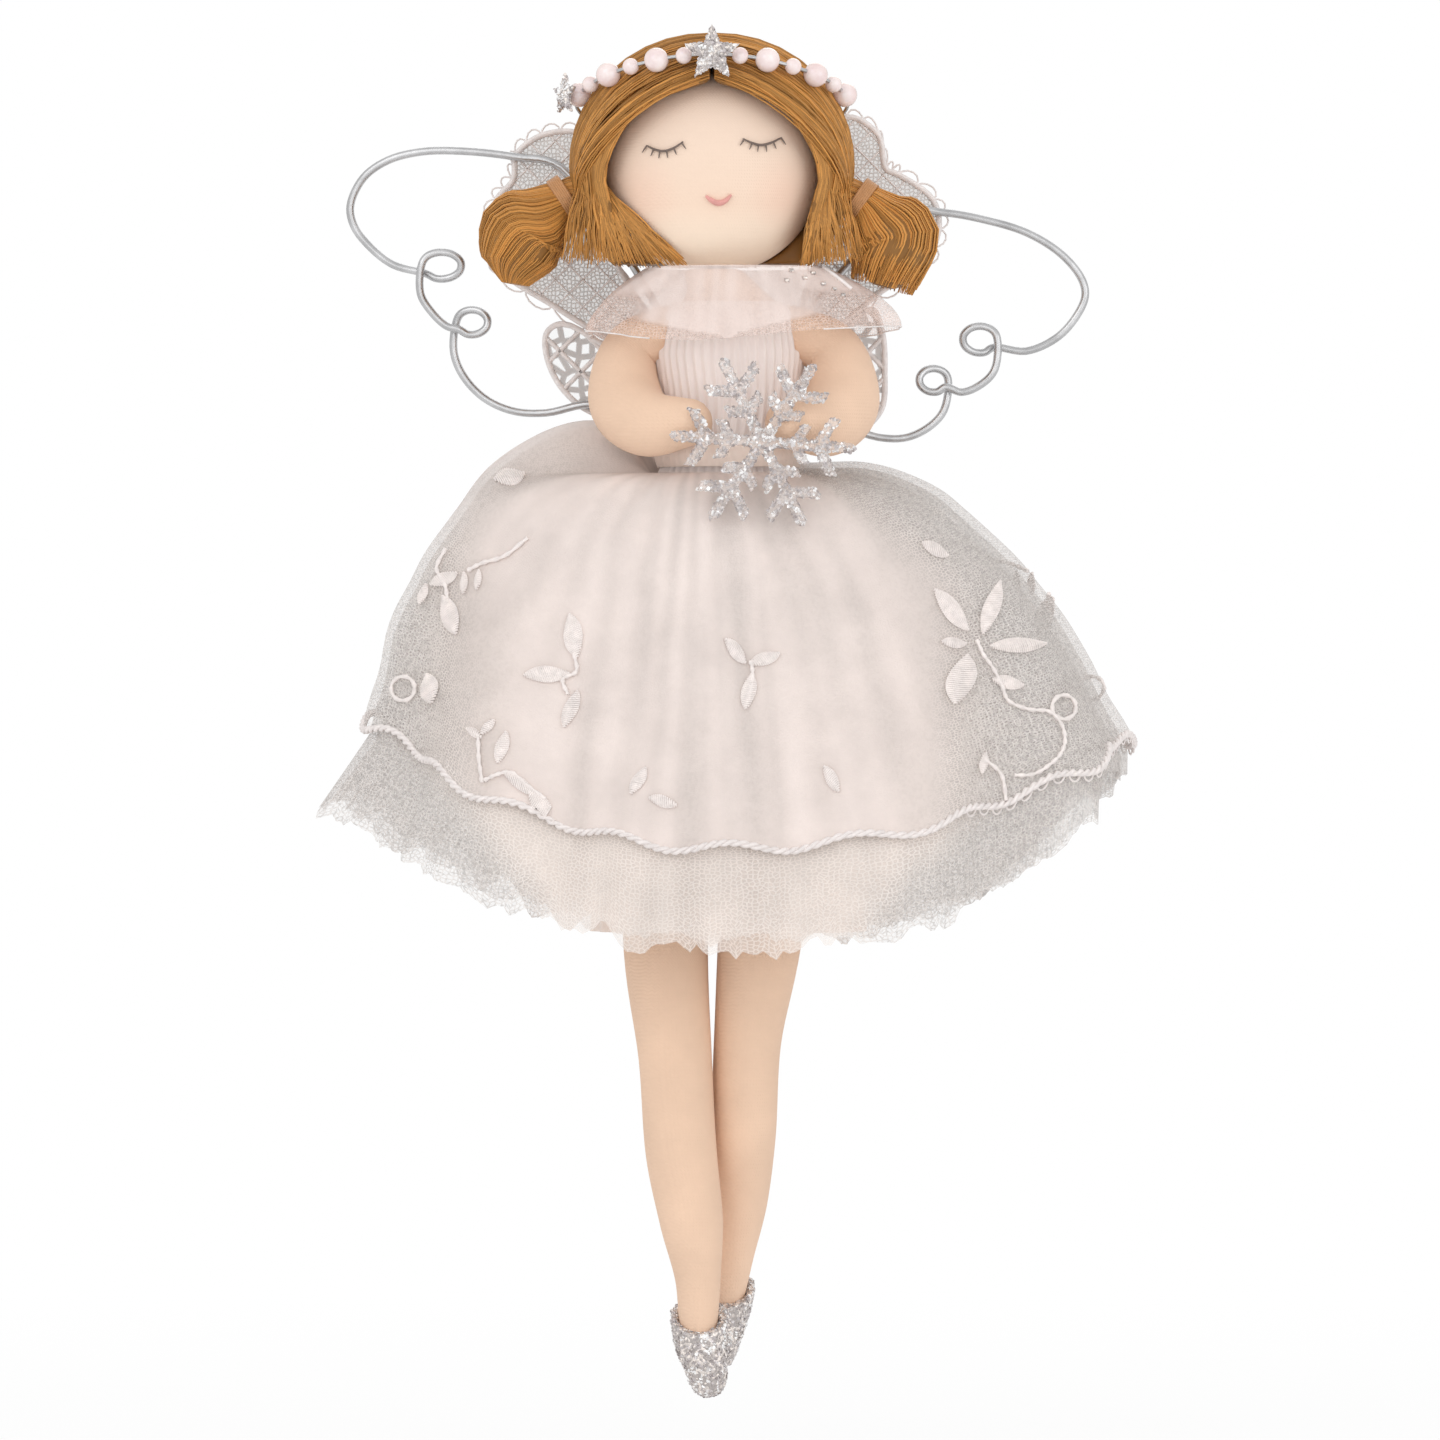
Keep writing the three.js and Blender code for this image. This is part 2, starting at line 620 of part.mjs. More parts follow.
function armStations(side, word) {
  const at = (out, forward, up) => new THREE.Vector3(side * out, -forward, up);
  const hand = HAND_RISE - WAIST_DROP;
  const upper = -SHOULDER_DROP - UPPER_ARM_DROP;
  return [
    { at: at(SHOULDER_WIDTH / 2, 0, -SHOULDER_DROP - ARM_ROOT_DROP), radius: 0.9 * SHOULDER_RADIUS },
    { at: at(SHOULDER_OUT[word], 0.05 * HAND_REACH, upper), radius: SHOULDER_RADIUS },
    { at: at(ELBOW_OUT[word], 0.3 * HAND_REACH, hand + ELBOW_RISE), radius: ELBOW_RADIUS },
    { at: at(FOREARM_OUT[word], 0.72 * HAND_REACH, hand), radius: 0.9 * ELBOW_RADIUS },
    { at: at(HAND_OUT[word], HAND_REACH, hand), radius: HAND_RADIUS },
  ];
}

function addArm(side, word) {
  const arm = toSolid(limbShape(armStations(side, word), 0, false));
  const body = toSolid(torsoShape(bodiceOffset + CLEARANCE));
  piece(bodyGroup, `${word}_arm`, toGeometry(arm.subtract(body)), skin);
}

function addBodice() {
  const heights = [-WAIST_DROP, -CHEST_DROP, -SHOULDER_DROP, -BODICE_TOP];
  const rings = (offset) => heights.map((z) => torsoRing({ z, half: halfWidthAt(z) }, offset));
  piece(bodyGroup, "bodice", sleeve(rings(bodiceOffset), rings(CLEARANCE)), satin);
}

// The collar hangs round the shoulders from just under the ends of the hair.
function addCollar() {
  const top = headAxes.z - HAIR_DROP - 2 * CLEARANCE;
  const rings = (inset) =>
    [0, 0.45, 0.8, 1].map((share) => {
      const spread = 1 - share ** 1.8;
      const halfWidth = lerp(COLLAR_TOP_WIDTH, COLLAR_HEM_WIDTH, spread) / 2 - inset;
      const halfDepth = lerp(COLLAR_TOP_DEPTH, COLLAR_HEM_DEPTH, spread) / 2 - inset;
      const z = top - COLLAR_HEIGHT * (1 - share);
      return ellipse(COLLAR_SHIFT, -COLLAR_LEAN, z, halfWidth, halfDepth, COLLAR_SIDES);
    });
  piece(bodyGroup, "shoulder_collar", sleeve(rings(0), rings(CLOTH)), tulle);
}

function addWaistband() {
  const ease = bodiceOffset + CLEARANCE + WAISTBAND_EASE;
  const ring = (z, offset) => torsoRing({ z, half: WAIST_WIDTH / 2 }, ease + offset);
  const [low, high] = [-WAIST_DROP - WAISTBAND_HEIGHT / 2, -WAIST_DROP + WAISTBAND_HEIGHT / 2];
  const rings = (offset) => [ring(low, offset), ring(high, offset)];
  piece(bodyGroup, "waistband", sleeve(rings(WAISTBAND_WALL), rings(0)), satin);
}

// Skirt layers: each is a bell round the waist that springs out, then falls. All share the same folds, and
// each lies a step inside the one before.
const skirtTop = -WAIST_DROP - WAISTBAND_HEIGHT / 2 - 3 * CLEARANCE;
const layerStep = CLOTH + LAYER_AIR;
const slipTop = skirtTop - 3 * layerStep - CLEARANCE;
const skirtWaist = new THREE.Vector2(1, TORSO_FLATNESS)
  .multiplyScalar(halfWidthAt(slipTop))
  .addScalar(3 * CLEARANCE);

function laceLength(angle) {
  return LACE_LENGTH + LACE_SLANT * Math.cos(angle) * Math.abs(Math.cos(angle));
}

// A size between its values at the -X side and at the +X side.
function acrossSides(left, right, angle) {
  return lerp(left, right, (1 + Math.cos(angle)) / 2);
}

// The gathers stand up most at the sides, less behind, and not at the front, under the arms.
function puffHeight(angle) {
  const back = Math.sin(angle);
  const share = smoothstep(back, -0.15, 0.35) * (1 - 0.6 * Math.max(0, back) ** 2);
  return share * acrossSides(LEFT_PUFF, RIGHT_PUFF, angle);
}

function domePower(angle) {
  const side = acrossSides(LEFT_POWER, RIGHT_POWER, angle);
  return lerp(side, FRONT_POWER, Math.max(0, -Math.sin(angle)) ** 2);
}

// A point of the lace's surface: share 0 at the waist, 1 at the hem, moved in by an inset.
function domePoint(angle, share, inset) {
  const out = new THREE.Vector2(Math.cos(angle), Math.sin(angle));
  const start = skirtWaist.clone().multiply(out);
  const hem = new THREE.Vector2(out.x < 0 ? DOME_LEFT : DOME_RIGHT, DOME_DEPTH).multiply(out);
  const reach = hem.sub(start);
  const drop = Math.sqrt(laceLength(angle) ** 2 - reach.lengthSq());
  const puff = puffHeight(angle) * (share / 0.25) * Math.exp(1 - share / 0.25);
  const fall = drop * share ** (1 / domePower(angle)) - puff;
  const steep = smoothstep(share, 0.1, 0.5);
  const fold = FOLD_DEPTH * share * share * Math.sin(FOLDS * angle) - inset * steep;
  const flat = start.addScaledVector(reach, share).addScaledVector(out, fold);
  return new THREE.Vector3(flat.x, flat.y, skirtTop - fall - inset);
}

const skirtAngles = Array.from({ length: SKIRT_SIDES }, (_, k) => (k / SKIRT_SIDES) * 2 * Math.PI);
const skirtShares = Array.from({ length: SKIRT_ROWS + 1 }, (_, i) => (i / SKIRT_ROWS) ** 0.85);

// Rings of the lace from hem to waist, its edge cut in scallops.
function laceRings(inset) {
  const rings = skirtShares.map((share) => skirtAngles.map((angle) => domePoint(angle, share, inset)));
  skirtAngles.forEach((angle, k) => {
    rings.at(-1)[k].z += SCALLOP * (0.5 + 0.5 * Math.cos(2 * FOLDS * angle));
  });
  return rings.reverse();
}

// A point of the tulle below the lace hem, where it springs out.
function tullePoint(angle, inset, below, step) {
  const at = domePoint(angle, 1, inset);
  const extra = step * below * (1 - TULLE_TAPER * Math.max(0, Math.cos(angle)) ** 5);
  const lean = acrossSides(SPRING_LEFT, SPRING_RIGHT, angle);
  const spring = lean * (0.3 + 0.7 * Math.cos(angle) ** 2) * extra;
  at.x += spring * Math.cos(angle);
  at.y += spring * Math.sin(angle);
  at.z -= Math.sqrt(extra * extra - spring * spring) + step * TULLE_CRINKLE * Math.sin(3 * FOLDS * angle);
  return at;
}

// Rings of a tulle layer from hem to waist.
function tulleRings(inset, below) {
  const rings = skirtShares.map((share) => skirtAngles.map((angle) => domePoint(angle, share, inset)));
  for (const step of [0.5, 1]) {
    rings.push(skirtAngles.map((angle) => tullePoint(angle, inset, below, step)));
  }
  return rings.reverse();
}

function slipRings(offset) {
  const hem = new THREE.Vector2(SLIP_WIDTH / 2, DOME_DEPTH - SLIP_INSET);
  const drop = Math.sqrt(SLIP_LENGTH ** 2 - (hem.x - skirtWaist.x) ** 2);
  const rings = [0, 0.25, 0.5, 0.75, 1].map((share) => {
    const half = skirtWaist.clone().lerp(hem, share).addScalar(offset);
    const ring = ellipse(0, 0, slipTop, half.x, half.y, SLIP_SIDES);
    ring.forEach((p, k) => (p.z -= drop * share ** (1 / domePower((k / SLIP_SIDES) * 2 * Math.PI))));
    return ring;
  });
  return rings.reverse();
}

function addSkirts() {
  const tulleLayer = (inset, below) => sleeve(tulleRings(inset, below), tulleRings(inset + CLOTH, below));
  piece(bodyGroup, "lace_overskirt", sleeve(laceRings(0), laceRings(CLOTH)), lace);
  piece(bodyGroup, "tulle_outer", tulleLayer(layerStep, TULLE_BELOW), tulle);
  piece(bodyGroup, "tulle_inner", tulleLayer(2 * layerStep, INNER_TULLE_BELOW), tulle);
  piece(bodyGroup, "slip", sleeve(slipRings(0), slipRings(-CLOTH)), satin);
}

// Legs, each in a frame at its hip. The left one crosses before the right one at the ankles.
const hipHeight = -SEAT_DROP - CLEARANCE - THIGH_RADIUS;
const LEG_FALLS = [0, 0.42, 0.58, 0.7, 0.79, 0.86, 0.93, 0.985]; // shares of a leg's length
const FRONT_INWARD = [0, -2.5, -1, -0.1, 1.5, 2.4, 2.6, 3.9]; // towards the other leg
const REAR_INWARD = [0, 2.1, 4.2, 4.8, 5.5, 6.6, 7.8, 8.6];
const frontRadii = [
  THIGH_RADIUS,
  THIGH_RADIUS,
  KNEE_RADIUS,
  0.97 * KNEE_RADIUS,
  CALF_RADIUS,
  ANKLE_RADIUS,
  0.8 * ANKLE_RADIUS,
  TOE_RADIUS,
];
const rearRadii = frontRadii.map((radius, i) => (i > 1 && i < 5 ? REAR_SLIMNESS * radius : radius));

// How far each leg stands before or behind the other, so that they pass each other with air between.
function legCross() {
  let cross = 0;
  return LEG_FALLS.map((fall, i) => {
    const shod = fall > 0.75 ? 2 * (SHOE_WALL + CLEARANCE) : 0;
    const room = frontRadii[i] + rearRadii[i] + shod + 2 * CLEARANCE;
    const apart = HIP_SPREAD - FRONT_INWARD[i] - REAR_INWARD[i];
    cross = Math.max(cross, Math.sqrt(Math.max(room * room - apart * apart, 0)) / 2);
    return cross;
  });
}

// side is -1 for the front leg and +1 for the rear one.
function addLeg(side, word, inward, radii, length) {
  const leg = new THREE.Group();
  leg.position.set((side * HIP_SPREAD) / 2, 0, hipHeight);
  bodyGroup.add(leg);
  const cross = legCross();
  const stations = LEG_FALLS.map((fall, i) => ({
    at: new THREE.Vector3(-side * inward[i], side * cross[i], -length * fall),
    radius: radii[i],
  }));
  piece(leg, `${word}_leg`, limbShape(stations, 0, true), skin);

  const outer = toSolid(limbShape(stations, CLEARANCE + SHOE_WALL, true));
  const foot = toSolid(limbShape(stations, CLEARANCE, true));
  const toe = stations.at(-1).at;
  const cut = box(new THREE.Vector3(-length, -length, 0), new THREE.Vector3(length, length, 2 * length));
  cut.rotateX(Math.atan(SHOE_SLANT)).translate(0, toe.y + ANKLE_RADIUS, toe.z + SHOE_HEIGHT);
  piece(leg, `${word}_shoe`, toGeometry(outer.subtract(foot).subtract(toSolid(cut))), glitter);
}

// The snowflake's outline: arms with a short and a long pair of twigs, all of one bar's width.
function flakeOutline() {
  const corners = [];
  const half = FLAKE_BAR / 2;
  const slope = Math.PI / 3;
  const root = half / Math.sin(slope);
  const twigs = [
    { at: INNER_TWIG_AT, long: INNER_TWIG },
    { at: OUTER_TWIG_AT, long: OUTER_TWIG },
  ];
  for (let arm = 0; arm < FLAKE_ARMS; arm++) {
    const turn = (arm * 2 * Math.PI) / FLAKE_ARMS;
    const put = (x, y) => corners.push(new THREE.Vector2(x, y).rotateAround(new THREE.Vector2(), turn));
    const twig = (sign, { at, long }) => {
      const [dx, dy] = [long * Math.cos(slope), sign * long * Math.sin(slope)];
      put(at + sign * root, sign * half);
      put(at + sign * root + dx, sign * half + dy);
      put(at - sign * root + dx, sign * half + dy);
      put(at - sign * root, sign * half);
    };
    put(half / Math.tan(Math.PI / FLAKE_ARMS), -half);
    twigs.forEach((t) => twig(-1, t));
    put(FLAKE_RADIUS, -half);
    put(FLAKE_RADIUS + half, 0);
    put(FLAKE_RADIUS, half);
    [...twigs].reverse().forEach((t) => twig(1, t));
  }
  return new THREE.Shape(corners);
}

// The snowflake lies before the hands, and before the skirt where it hangs that low.
function addSnowflake() {
  const made = new THREE.ExtrudeGeometry(flakeOutline(), { depth: FLAKE_THICK, bevelEnabled: false });
  const z = FLAKE_RISE - WAIST_DROP;
  const bottom = z - FLAKE_RADIUS - FLAKE_BAR;
  const skirtFront = Array.from({ length: 41 }, (_, i) => domePoint(-Math.PI / 2, i / 40, 0))
    .filter((p) => p.z > bottom)
    .map((p) => -p.y);
  const front = Math.max(HAND_REACH + HAND_RADIUS, ...skirtFront) + CLEARANCE;
  const flake = piece(bodyGroup, "snowflake", made.rotateZ(degToRad(FLAKE_TURN)), glitter);
  flake.rotation.x = Math.PI / 2;
  flake.position.set(FLAKE_OUT, -front, z);
}

// Wings, each in a frame at its root on the patch: out from the torso and up from the patch's middle.
const patchBack = halfWidthAt(-PATCH_DROP) * TORSO_FLATNESS + bodiceOffset + CLEARANCE + PATCH_THICK;
const rootOut = PATCH_WIDTH / 2 + CLEARANCE + WIRE / 2;

// The bent wire of a wing: out along the top, down through two curls, and back to the root.
const WIRE_ROUTES = {
  left: {
    top: [[20.7, 34.9], [27.5, 36.5], [35, 37.4], [41.7, 37.4], [47, 36.1], [50.7, 33.5], [52.7, 29.3]],
    outer: [[52.2, 26.3], [50, 23.3], [46.2, 20.3]],
    curl: { out: 38.8, up: 20.1, long: 3, high: 2 },
    between: [[42, 15.9], [40.6, 13.4], [38, 10.9]],
    lowerCurl: { out: 34.2, up: 11.5, long: 2.4, high: 1.9 },
    bottom: [[37, 7.1], [35.6, 3.5], [32.4, 0.1], [28, -1.9], [23, -2.2], [16, -0.9]],
  },
  right: {
    top: [[21.8, 28.1], [27.9, 28.1], [33.9, 27.1], [40.6, 25.1], [45.9, 21.8], [48.9, 18.1], [49.4, 15.5]],
    outer: [[47.8, 12.1], [44.9, 9.1], [40.4, 7.2]],
    curl: { out: 33.4, up: 8.9, long: 2.6, high: 2 },
    between: [[35.6, 4.3], [33.6, 2.1], [30.6, 0.9]],
    lowerCurl: { out: 26.4, up: 2.7, long: 2.2, high: 1.8 },
    bottom: [[28, -1.7], [26, -4.1], [22.4, -5.9], [18, -5.9], [10, -3.5]],
  },
};

function wingPoint(side, out, up, depth = 0) {
  return new THREE.Vector3(side * out, WING_SWEEP * out + depth, up);
}

// A curl starts at its outer lower side, runs under and round, and ends a step away in depth.
function curlPoints(side, { out, up, long, high }, fromDepth, toDepth) {
  return Array.from({ length: CURL_STEPS + 1 }, (_, k) => {
    const angle = degToRad(lerp(-35, -355, k / CURL_STEPS));
    const depth = lerp(fromDepth, toDepth, k / CURL_STEPS);
    return wingPoint(side, out + long * Math.cos(angle), up + high * Math.sin(angle), depth);
  });
}

function wirePoints(side, route) {
  const at = (depth) => ([out, up]) => wingPoint(side, out, up, depth);
  const stations = [
    wingPoint(side, 0, ROOT_GAP),
    ...route.top.map(at(0)),
    ...route.outer.map(at(0)),
    ...curlPoints(side, route.curl, 0, -CURL_STEP),
    ...route.between.map(at(-CURL_STEP)),
    ...curlPoints(side, route.lowerCurl, -CURL_STEP, 0),
    ...route.bottom.map(at(0)),
    wingPoint(side, 0, -ROOT_GAP),
  ];
  return new THREE.CatmullRomCurve3(stations, false, "centripetal").getPoints(2 * (stations.length - 1));
}

// The least air between two strands of a wire, over points well apart along it.
function leastGap(points) {
  const run = [0];
  for (let i = 1; i < points.length; i++) run.push(run[i - 1] + points[i].distanceTo(points[i - 1]));
  let least = Infinity;
  for (let i = 0; i < points.length; i++) {
    for (let j = i + 1; j < points.length; j++) {
      if (run[j] - run[i] > 3 * WIRE) least = Math.min(least, points[i].distanceTo(points[j]));
    }
  }
  return least - WIRE;
}

function addWire(wing, side, word) {
  const points = wirePoints(side, WIRE_ROUTES[word]);
  const radius = WIRE / 2;
  const first = points[0].clone().sub(points[1]).normalize();
  const last = points.at(-1).clone().sub(points.at(-2)).normalize();
  const past = (end, along, share) => end.clone().addScaledVector(along, share * radius);
  const run = [past(points[0], first, 0.7), ...points, past(points.at(-1), last, 0.7)];
  const radii = run.map((_, i) => (i === 0 || i === run.length - 1 ? 0.7 * radius : radius));
  const [start, end] = [past(points[0], first, 1), past(points.at(-1), last, 1)];
  const made = loft(ringsAlong(run, radii, WIRE_SIDES), end, start);
  piece(wing, `${word}_wing_wire`, made, silver);
  console.log(`least gap of the ${word} wing's wire to itself: ${leastGap(points).toFixed(2)} mm`);
}

// Outlines of the lace behind each wing.
const LACE_OUTLINES = {
  left_upper: [
    [2.2, 4.1], [10.4, 16.9], [13.6, 23.6], [14.2, 36.6], [18, 40.1], [23.7, 39.8], [27.5, 36.9],
    [28, 33.1], [30.5, 30.1], [31.7, 24.1], [29.4, 19.1], [22, 14.1], [12, 8.1],
  ],
  left_lower: [
    [2.2, 2.1], [11.6, 6.3], [20.4, 11.3], [22.8, 10.1], [23, 6.8],
    [20.8, 1.8], [16.2, -2.1], [9, -3.3], [2.2, -1.3],
  ],
  right_upper: [
    [2.2, 4.1], [7, 14.9], [9.2, 23.1], [9.6, 37.5], [13.4, 42.5], [18, 39.9], [19.2, 34.7],
    [21, 33.9], [26.3, 30.1], [27.2, 25.6], [24.8, 20.4], [18, 15.8], [9, 8.1],
  ],
  right_lower: [
    [2.2, 2.1], [8.6, 6.3], [17, 13.5], [18.6, 10.1], [19, 4.1],
    [18.4, -1.9], [14, -5.5], [7, -5.3], [2.2, -1.3],
  ],
};

function within(point, corners) {
  let inside = false;
  corners.forEach((a, i) => {
    const b = corners[(i + 1) % corners.length];
    if (a.y > point.y === b.y > point.y) return;
    if (point.x < mapLinear(point.y, a.y, b.y, a.x, b.x)) inside = !inside;
  });
  return inside;
}

function edgeDistance(point, corners) {
  const from = new THREE.Vector3(point.x, point.y, 0);
  const distances = corners.map((a, i) => {
    const b = corners[(i + 1) % corners.length];
    const edge = new THREE.Line3(new THREE.Vector3(a.x, a.y, 0), new THREE.Vector3(b.x, b.y, 0));
    return edge.closestPointToPoint(from, true, new THREE.Vector3()).distanceTo(from);
  });
  return Math.min(...distances);
}

// A lace outline with its diamond gaps, as many as fit inside a border.
function laceShape(corners) {
  const shape = new THREE.Shape(corners);
  const pitch = 2 * LACE_GAP + LACE_BAR * Math.SQRT2;
  const bounds = new THREE.Box2().setFromPoints(corners);
  const size = bounds.getSize(new THREE.Vector2()).divideScalar(pitch).ceil();
  for (let row = 0; row <= 2 * size.y; row++) {
    for (let column = 0; column <= size.x; column++) {
      const centre = new THREE.Vector2(column + (row % 2) / 2, row / 2);
      centre.multiplyScalar(pitch).add(bounds.min);
      const gap = [0, 1, 2, 3].map((k) =>
        new THREE.Vector2(LACE_GAP, 0).rotateAround(new THREE.Vector2(), (k * Math.PI) / 2).add(centre),
      );
      const fits = gap.every((p) => within(p, corners) && edgeDistance(p, corners) > LACE_BAR);
      if (fits) shape.holes.push(new THREE.Path(gap));
    }
  }
  return shape;
}

// A piece of wing lace lies behind the wire and keeps clear of the hair.
function addWingLace(wing, side, word) {
  const corners = LACE_OUTLINES[word].map(([out, up]) => new THREE.Vector2(side * out, up));
  const made = new THREE.ExtrudeGeometry(laceShape(corners), { depth: CLOTH, bevelEnabled: false });
  const across = new THREE.Vector3(1, side * WING_SWEEP, 0).normalize();
  const up = new THREE.Vector3(0, 0, 1);
  made.applyMatrix4(new THREE.Matrix4().makeBasis(across, up, across.clone().cross(up)));
  made.translate(0, WIRE / 2 + CLEARANCE + CLOTH, 0);
  const shift = headAt.clone().sub(bodyAt).sub(wing.position);
  const room = toSolid(hairShape(2 * CLEARANCE).translate(shift.x, shift.y, shift.z));
  piece(wing, `${word}_lace`, toGeometry(toSolid(made).subtract(room)), lace);
}

function addWing(side, word) {
  const wing = new THREE.Group();
  wing.position.set(side * rootOut, patchBack - WIRE / 2, -PATCH_DROP);
  bodyGroup.add(wing);
  addWire(wing, side, word);
  addWingLace(wing, side, `${word}_upper`);
  addWingLace(wing, side, `${word}_lower`);
}

function addWingPatch() {
  const low = new THREE.Vector3(-PATCH_WIDTH / 2, 0, -PATCH_DROP - PATCH_HEIGHT / 2);
  const high = new THREE.Vector3(PATCH_WIDTH / 2, patchBack, -PATCH_DROP + PATCH_HEIGHT / 2);
  const patch = toSolid(box(low, high)).subtract(toSolid(torsoShape(bodiceOffset + CLEARANCE)));
  piece(bodyGroup, "wing_patch", toGeometry(patch), felt);
}

doll.name = "lace_angel";
piece(headGroup, "head", headShape(0), skin);
addFace();
addHair();
addBunch(-1, "left");
addBunch(1, "right");
addHeadband();
piece(bodyGroup, "torso", torsoShape(0), skin);
addArm(-1, "left");
addArm(1, "right");
addBodice();
addCollar();
addWaistband();
addSkirts();
addLeg(-1, "left", FRONT_INWARD, frontRadii, FRONT_LEG);
addLeg(1, "right", REAR_INWARD, rearRadii, REAR_LEG);
addSnowflake();
addWingPatch();
addWing(-1, "left");
addWing(1, "right");

export default doll;
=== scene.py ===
"""Visual model of a lace angel ornament, built over its CAD frame.

Places are in millimetres of that frame.
"""

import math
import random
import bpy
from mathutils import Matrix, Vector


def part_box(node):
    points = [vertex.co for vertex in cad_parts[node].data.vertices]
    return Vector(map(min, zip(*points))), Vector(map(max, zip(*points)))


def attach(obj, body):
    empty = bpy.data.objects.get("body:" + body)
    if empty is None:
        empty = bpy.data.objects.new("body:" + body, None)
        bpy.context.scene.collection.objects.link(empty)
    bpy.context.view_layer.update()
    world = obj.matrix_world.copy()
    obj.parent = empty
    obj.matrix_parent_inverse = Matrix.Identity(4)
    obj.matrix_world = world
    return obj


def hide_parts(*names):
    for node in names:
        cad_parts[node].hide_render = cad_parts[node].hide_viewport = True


bl_info = {
    "name": "Lace Angel Ornament",
    "version": (1, 0, 0),
    "blender": (4, 5, 0),
    "location": "View3D > Sidebar > Angel",
    "description": "Builds the looks of a hanging lace angel over its CAD frame",
    "category": "Object",
}

import bmesh
import bpy
import numpy as np
from bpy.props import FloatProperty, FloatVectorProperty, IntProperty, PointerProperty
from mathutils import Vector, noise
from mathutils.bvhtree import BVHTree

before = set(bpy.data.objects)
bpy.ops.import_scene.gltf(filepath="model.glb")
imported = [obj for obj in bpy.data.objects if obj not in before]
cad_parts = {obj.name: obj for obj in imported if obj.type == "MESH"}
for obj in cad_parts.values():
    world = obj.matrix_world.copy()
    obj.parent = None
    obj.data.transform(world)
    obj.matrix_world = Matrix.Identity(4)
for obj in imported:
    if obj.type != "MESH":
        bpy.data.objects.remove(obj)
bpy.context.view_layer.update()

MM = 0.001
UP = np.array((0.0, 0.0, 1.0))
SIDES = {"left": -1, "right": 1}
SKIN_SHADER = {"Roughness": 0.85, "Sheen Weight": 0.05, "Sheen Roughness": 0.5, "Specular IOR Level": 0.2}

# The photograph's scale and the pixel of the frame's origin
PIXEL = 0.15
PIXEL_X = 712
PIXEL_Y = 35
PHOTO_SIZE = 1440

# Head and hair, about the head's centre, with the cheeks in the frame
HEAD_CENTRE = np.array((0.0, 0.0, -20.15))
HEAD_AXES = np.array((16.5, 13.5, 15.75))
HAIR_AXES = np.array((20.9, 16.5, 20.15))
HAIR_DROP = 14.2
NECK_SEAT = -14.67
CHEEKS = [(-9.2, -8.5, -23.8), (9.8, -8.5, -23.8)]
LASH_RADIUS = 0.18
LIP_RADIUS = 0.34
BUNCHES = {
    "left": [(1.1, -4.2), (7.4, -9.6), (8.6, -17.2)],
    "right": [(1.1, -4.6), (6.6, -10.4), (4.6, -17.6)],
}
BUNCH_RADII = [3.0, 2.4, 5.4, 6.6, 5.5, 2.0]
BUNCH_STRANDS = 420
HANGING_STRANDS = 240
FRAMING_STRANDS = 130
TIE_TURNS = 6
TIE_REACH = 3.3
TIE_RADIUS = 0.26

# Strands beside the jaw: their count and how near to the middle they come, and from the outer one to the
# inner one the sides and heights of the roots and the heights of the tips
JAW_STRANDS = {"left": (190, 3.6), "right": (120, 13.0)}
JAW_ROOTS = (20.2, 15.4)
JAW_ROOT_HEIGHTS = (-21.5, -24.2)
JAW_TIP = 22.6
JAW_TIP_HEIGHTS = (-33.8, -34.7)

# Hair in degrees: over the head from the face, round the head from the face, and round the face from its side
COMB_RISE = (40, 205)
SEAM_RISE = (50, 206)
HANG_TURN = (62, 178)
FRAME_TURN = (88, -52)

# Headband
BAND_FRONT = 15.0
BAND_SIDE = 9.6
BAND_OFFSET = 2.15
BEAD_PAIRS = 6
LARGE_BEAD = 3.7
SMALL_BEAD = 2.5
STRING_RADIUS = 0.3
CROWN_STAR = 4.3
SIDE_STAR = 3.2

# Body, bodice and collar, from the chin
CHIN = np.array((2.5, 0.0, -35.9))
TORSO_HEIGHTS = [-42.6, -40, -37, -27, -12, -6, -3]
TORSO_HALVES = [9, 11.5, 12.5, 8.5, 10.5, 9.5, 6]
TORSO_FLATNESS = 0.714
WAIST_HALF = 8.5
WAIST_DROP = 27.0
WAISTBAND_RISE = 2.0
BODICE_TOP = -4.2
BODICE_END = -32.0
COLLAR_SHIFT = np.array((1.2, -2.4, 0.9))
COLLAR_NECK = np.array((13.5, 9.5))
COLLAR_HEM = np.array((22.6, 11.5))
COLLAR_CORNER = np.array((1.6, 0.0))
COLLAR_DROP = 10.4
ARMS = {
    "left": [(9.5, 0, -8.6), (14.6, 0.64, -11.6), (15.4, 3.84, -19), (12, 9.2, -22.6), (6, 12.8, -22.6)],
    "right": [(9.5, 0, -8.6), (15.6, 0.64, -11.6), (17, 3.84, -19), (14.4, 9.2, -22.6), (9, 12.8, -22.6)],
}
ARM_RADII = [3.96, 4.4, 5.6, 5.04, 3.6]

# Skirt, from the chin, with the middle of its gathers
SKIRT_MIDDLE = -1.5
SKIRT_TOP = -29.9
SLIP_TOP = -33.05
SKIRT_WAIST = np.array((11.82, 8.7))
DOME_LEFT = 53.5
DOME_RIGHT = 59.5
DOME_DEPTH = 27.0
LEFT_POWER = 0.2
RIGHT_POWER = 0.38
FRONT_POWER = 0.55
SKIRT_FOLDS = 10
FOLD_DEPTH = 1.7
LACE_LENGTH = 59.5
LACE_SLANT = 3.2
SCALLOPS = 20
SCALLOP_DEPTH = 1.6
HEM_PICOT = 1.1
TULLE_TAPER = 0.75
SPRING_LEFT = 0.57
SPRING_RIGHT = -0.15
LEFT_PUFF = 9.0
RIGHT_PUFF = 2.5
SLIP_HALF = 20.5
SLIP_LENGTH = 66.0
LAYER_STEP = 0.95

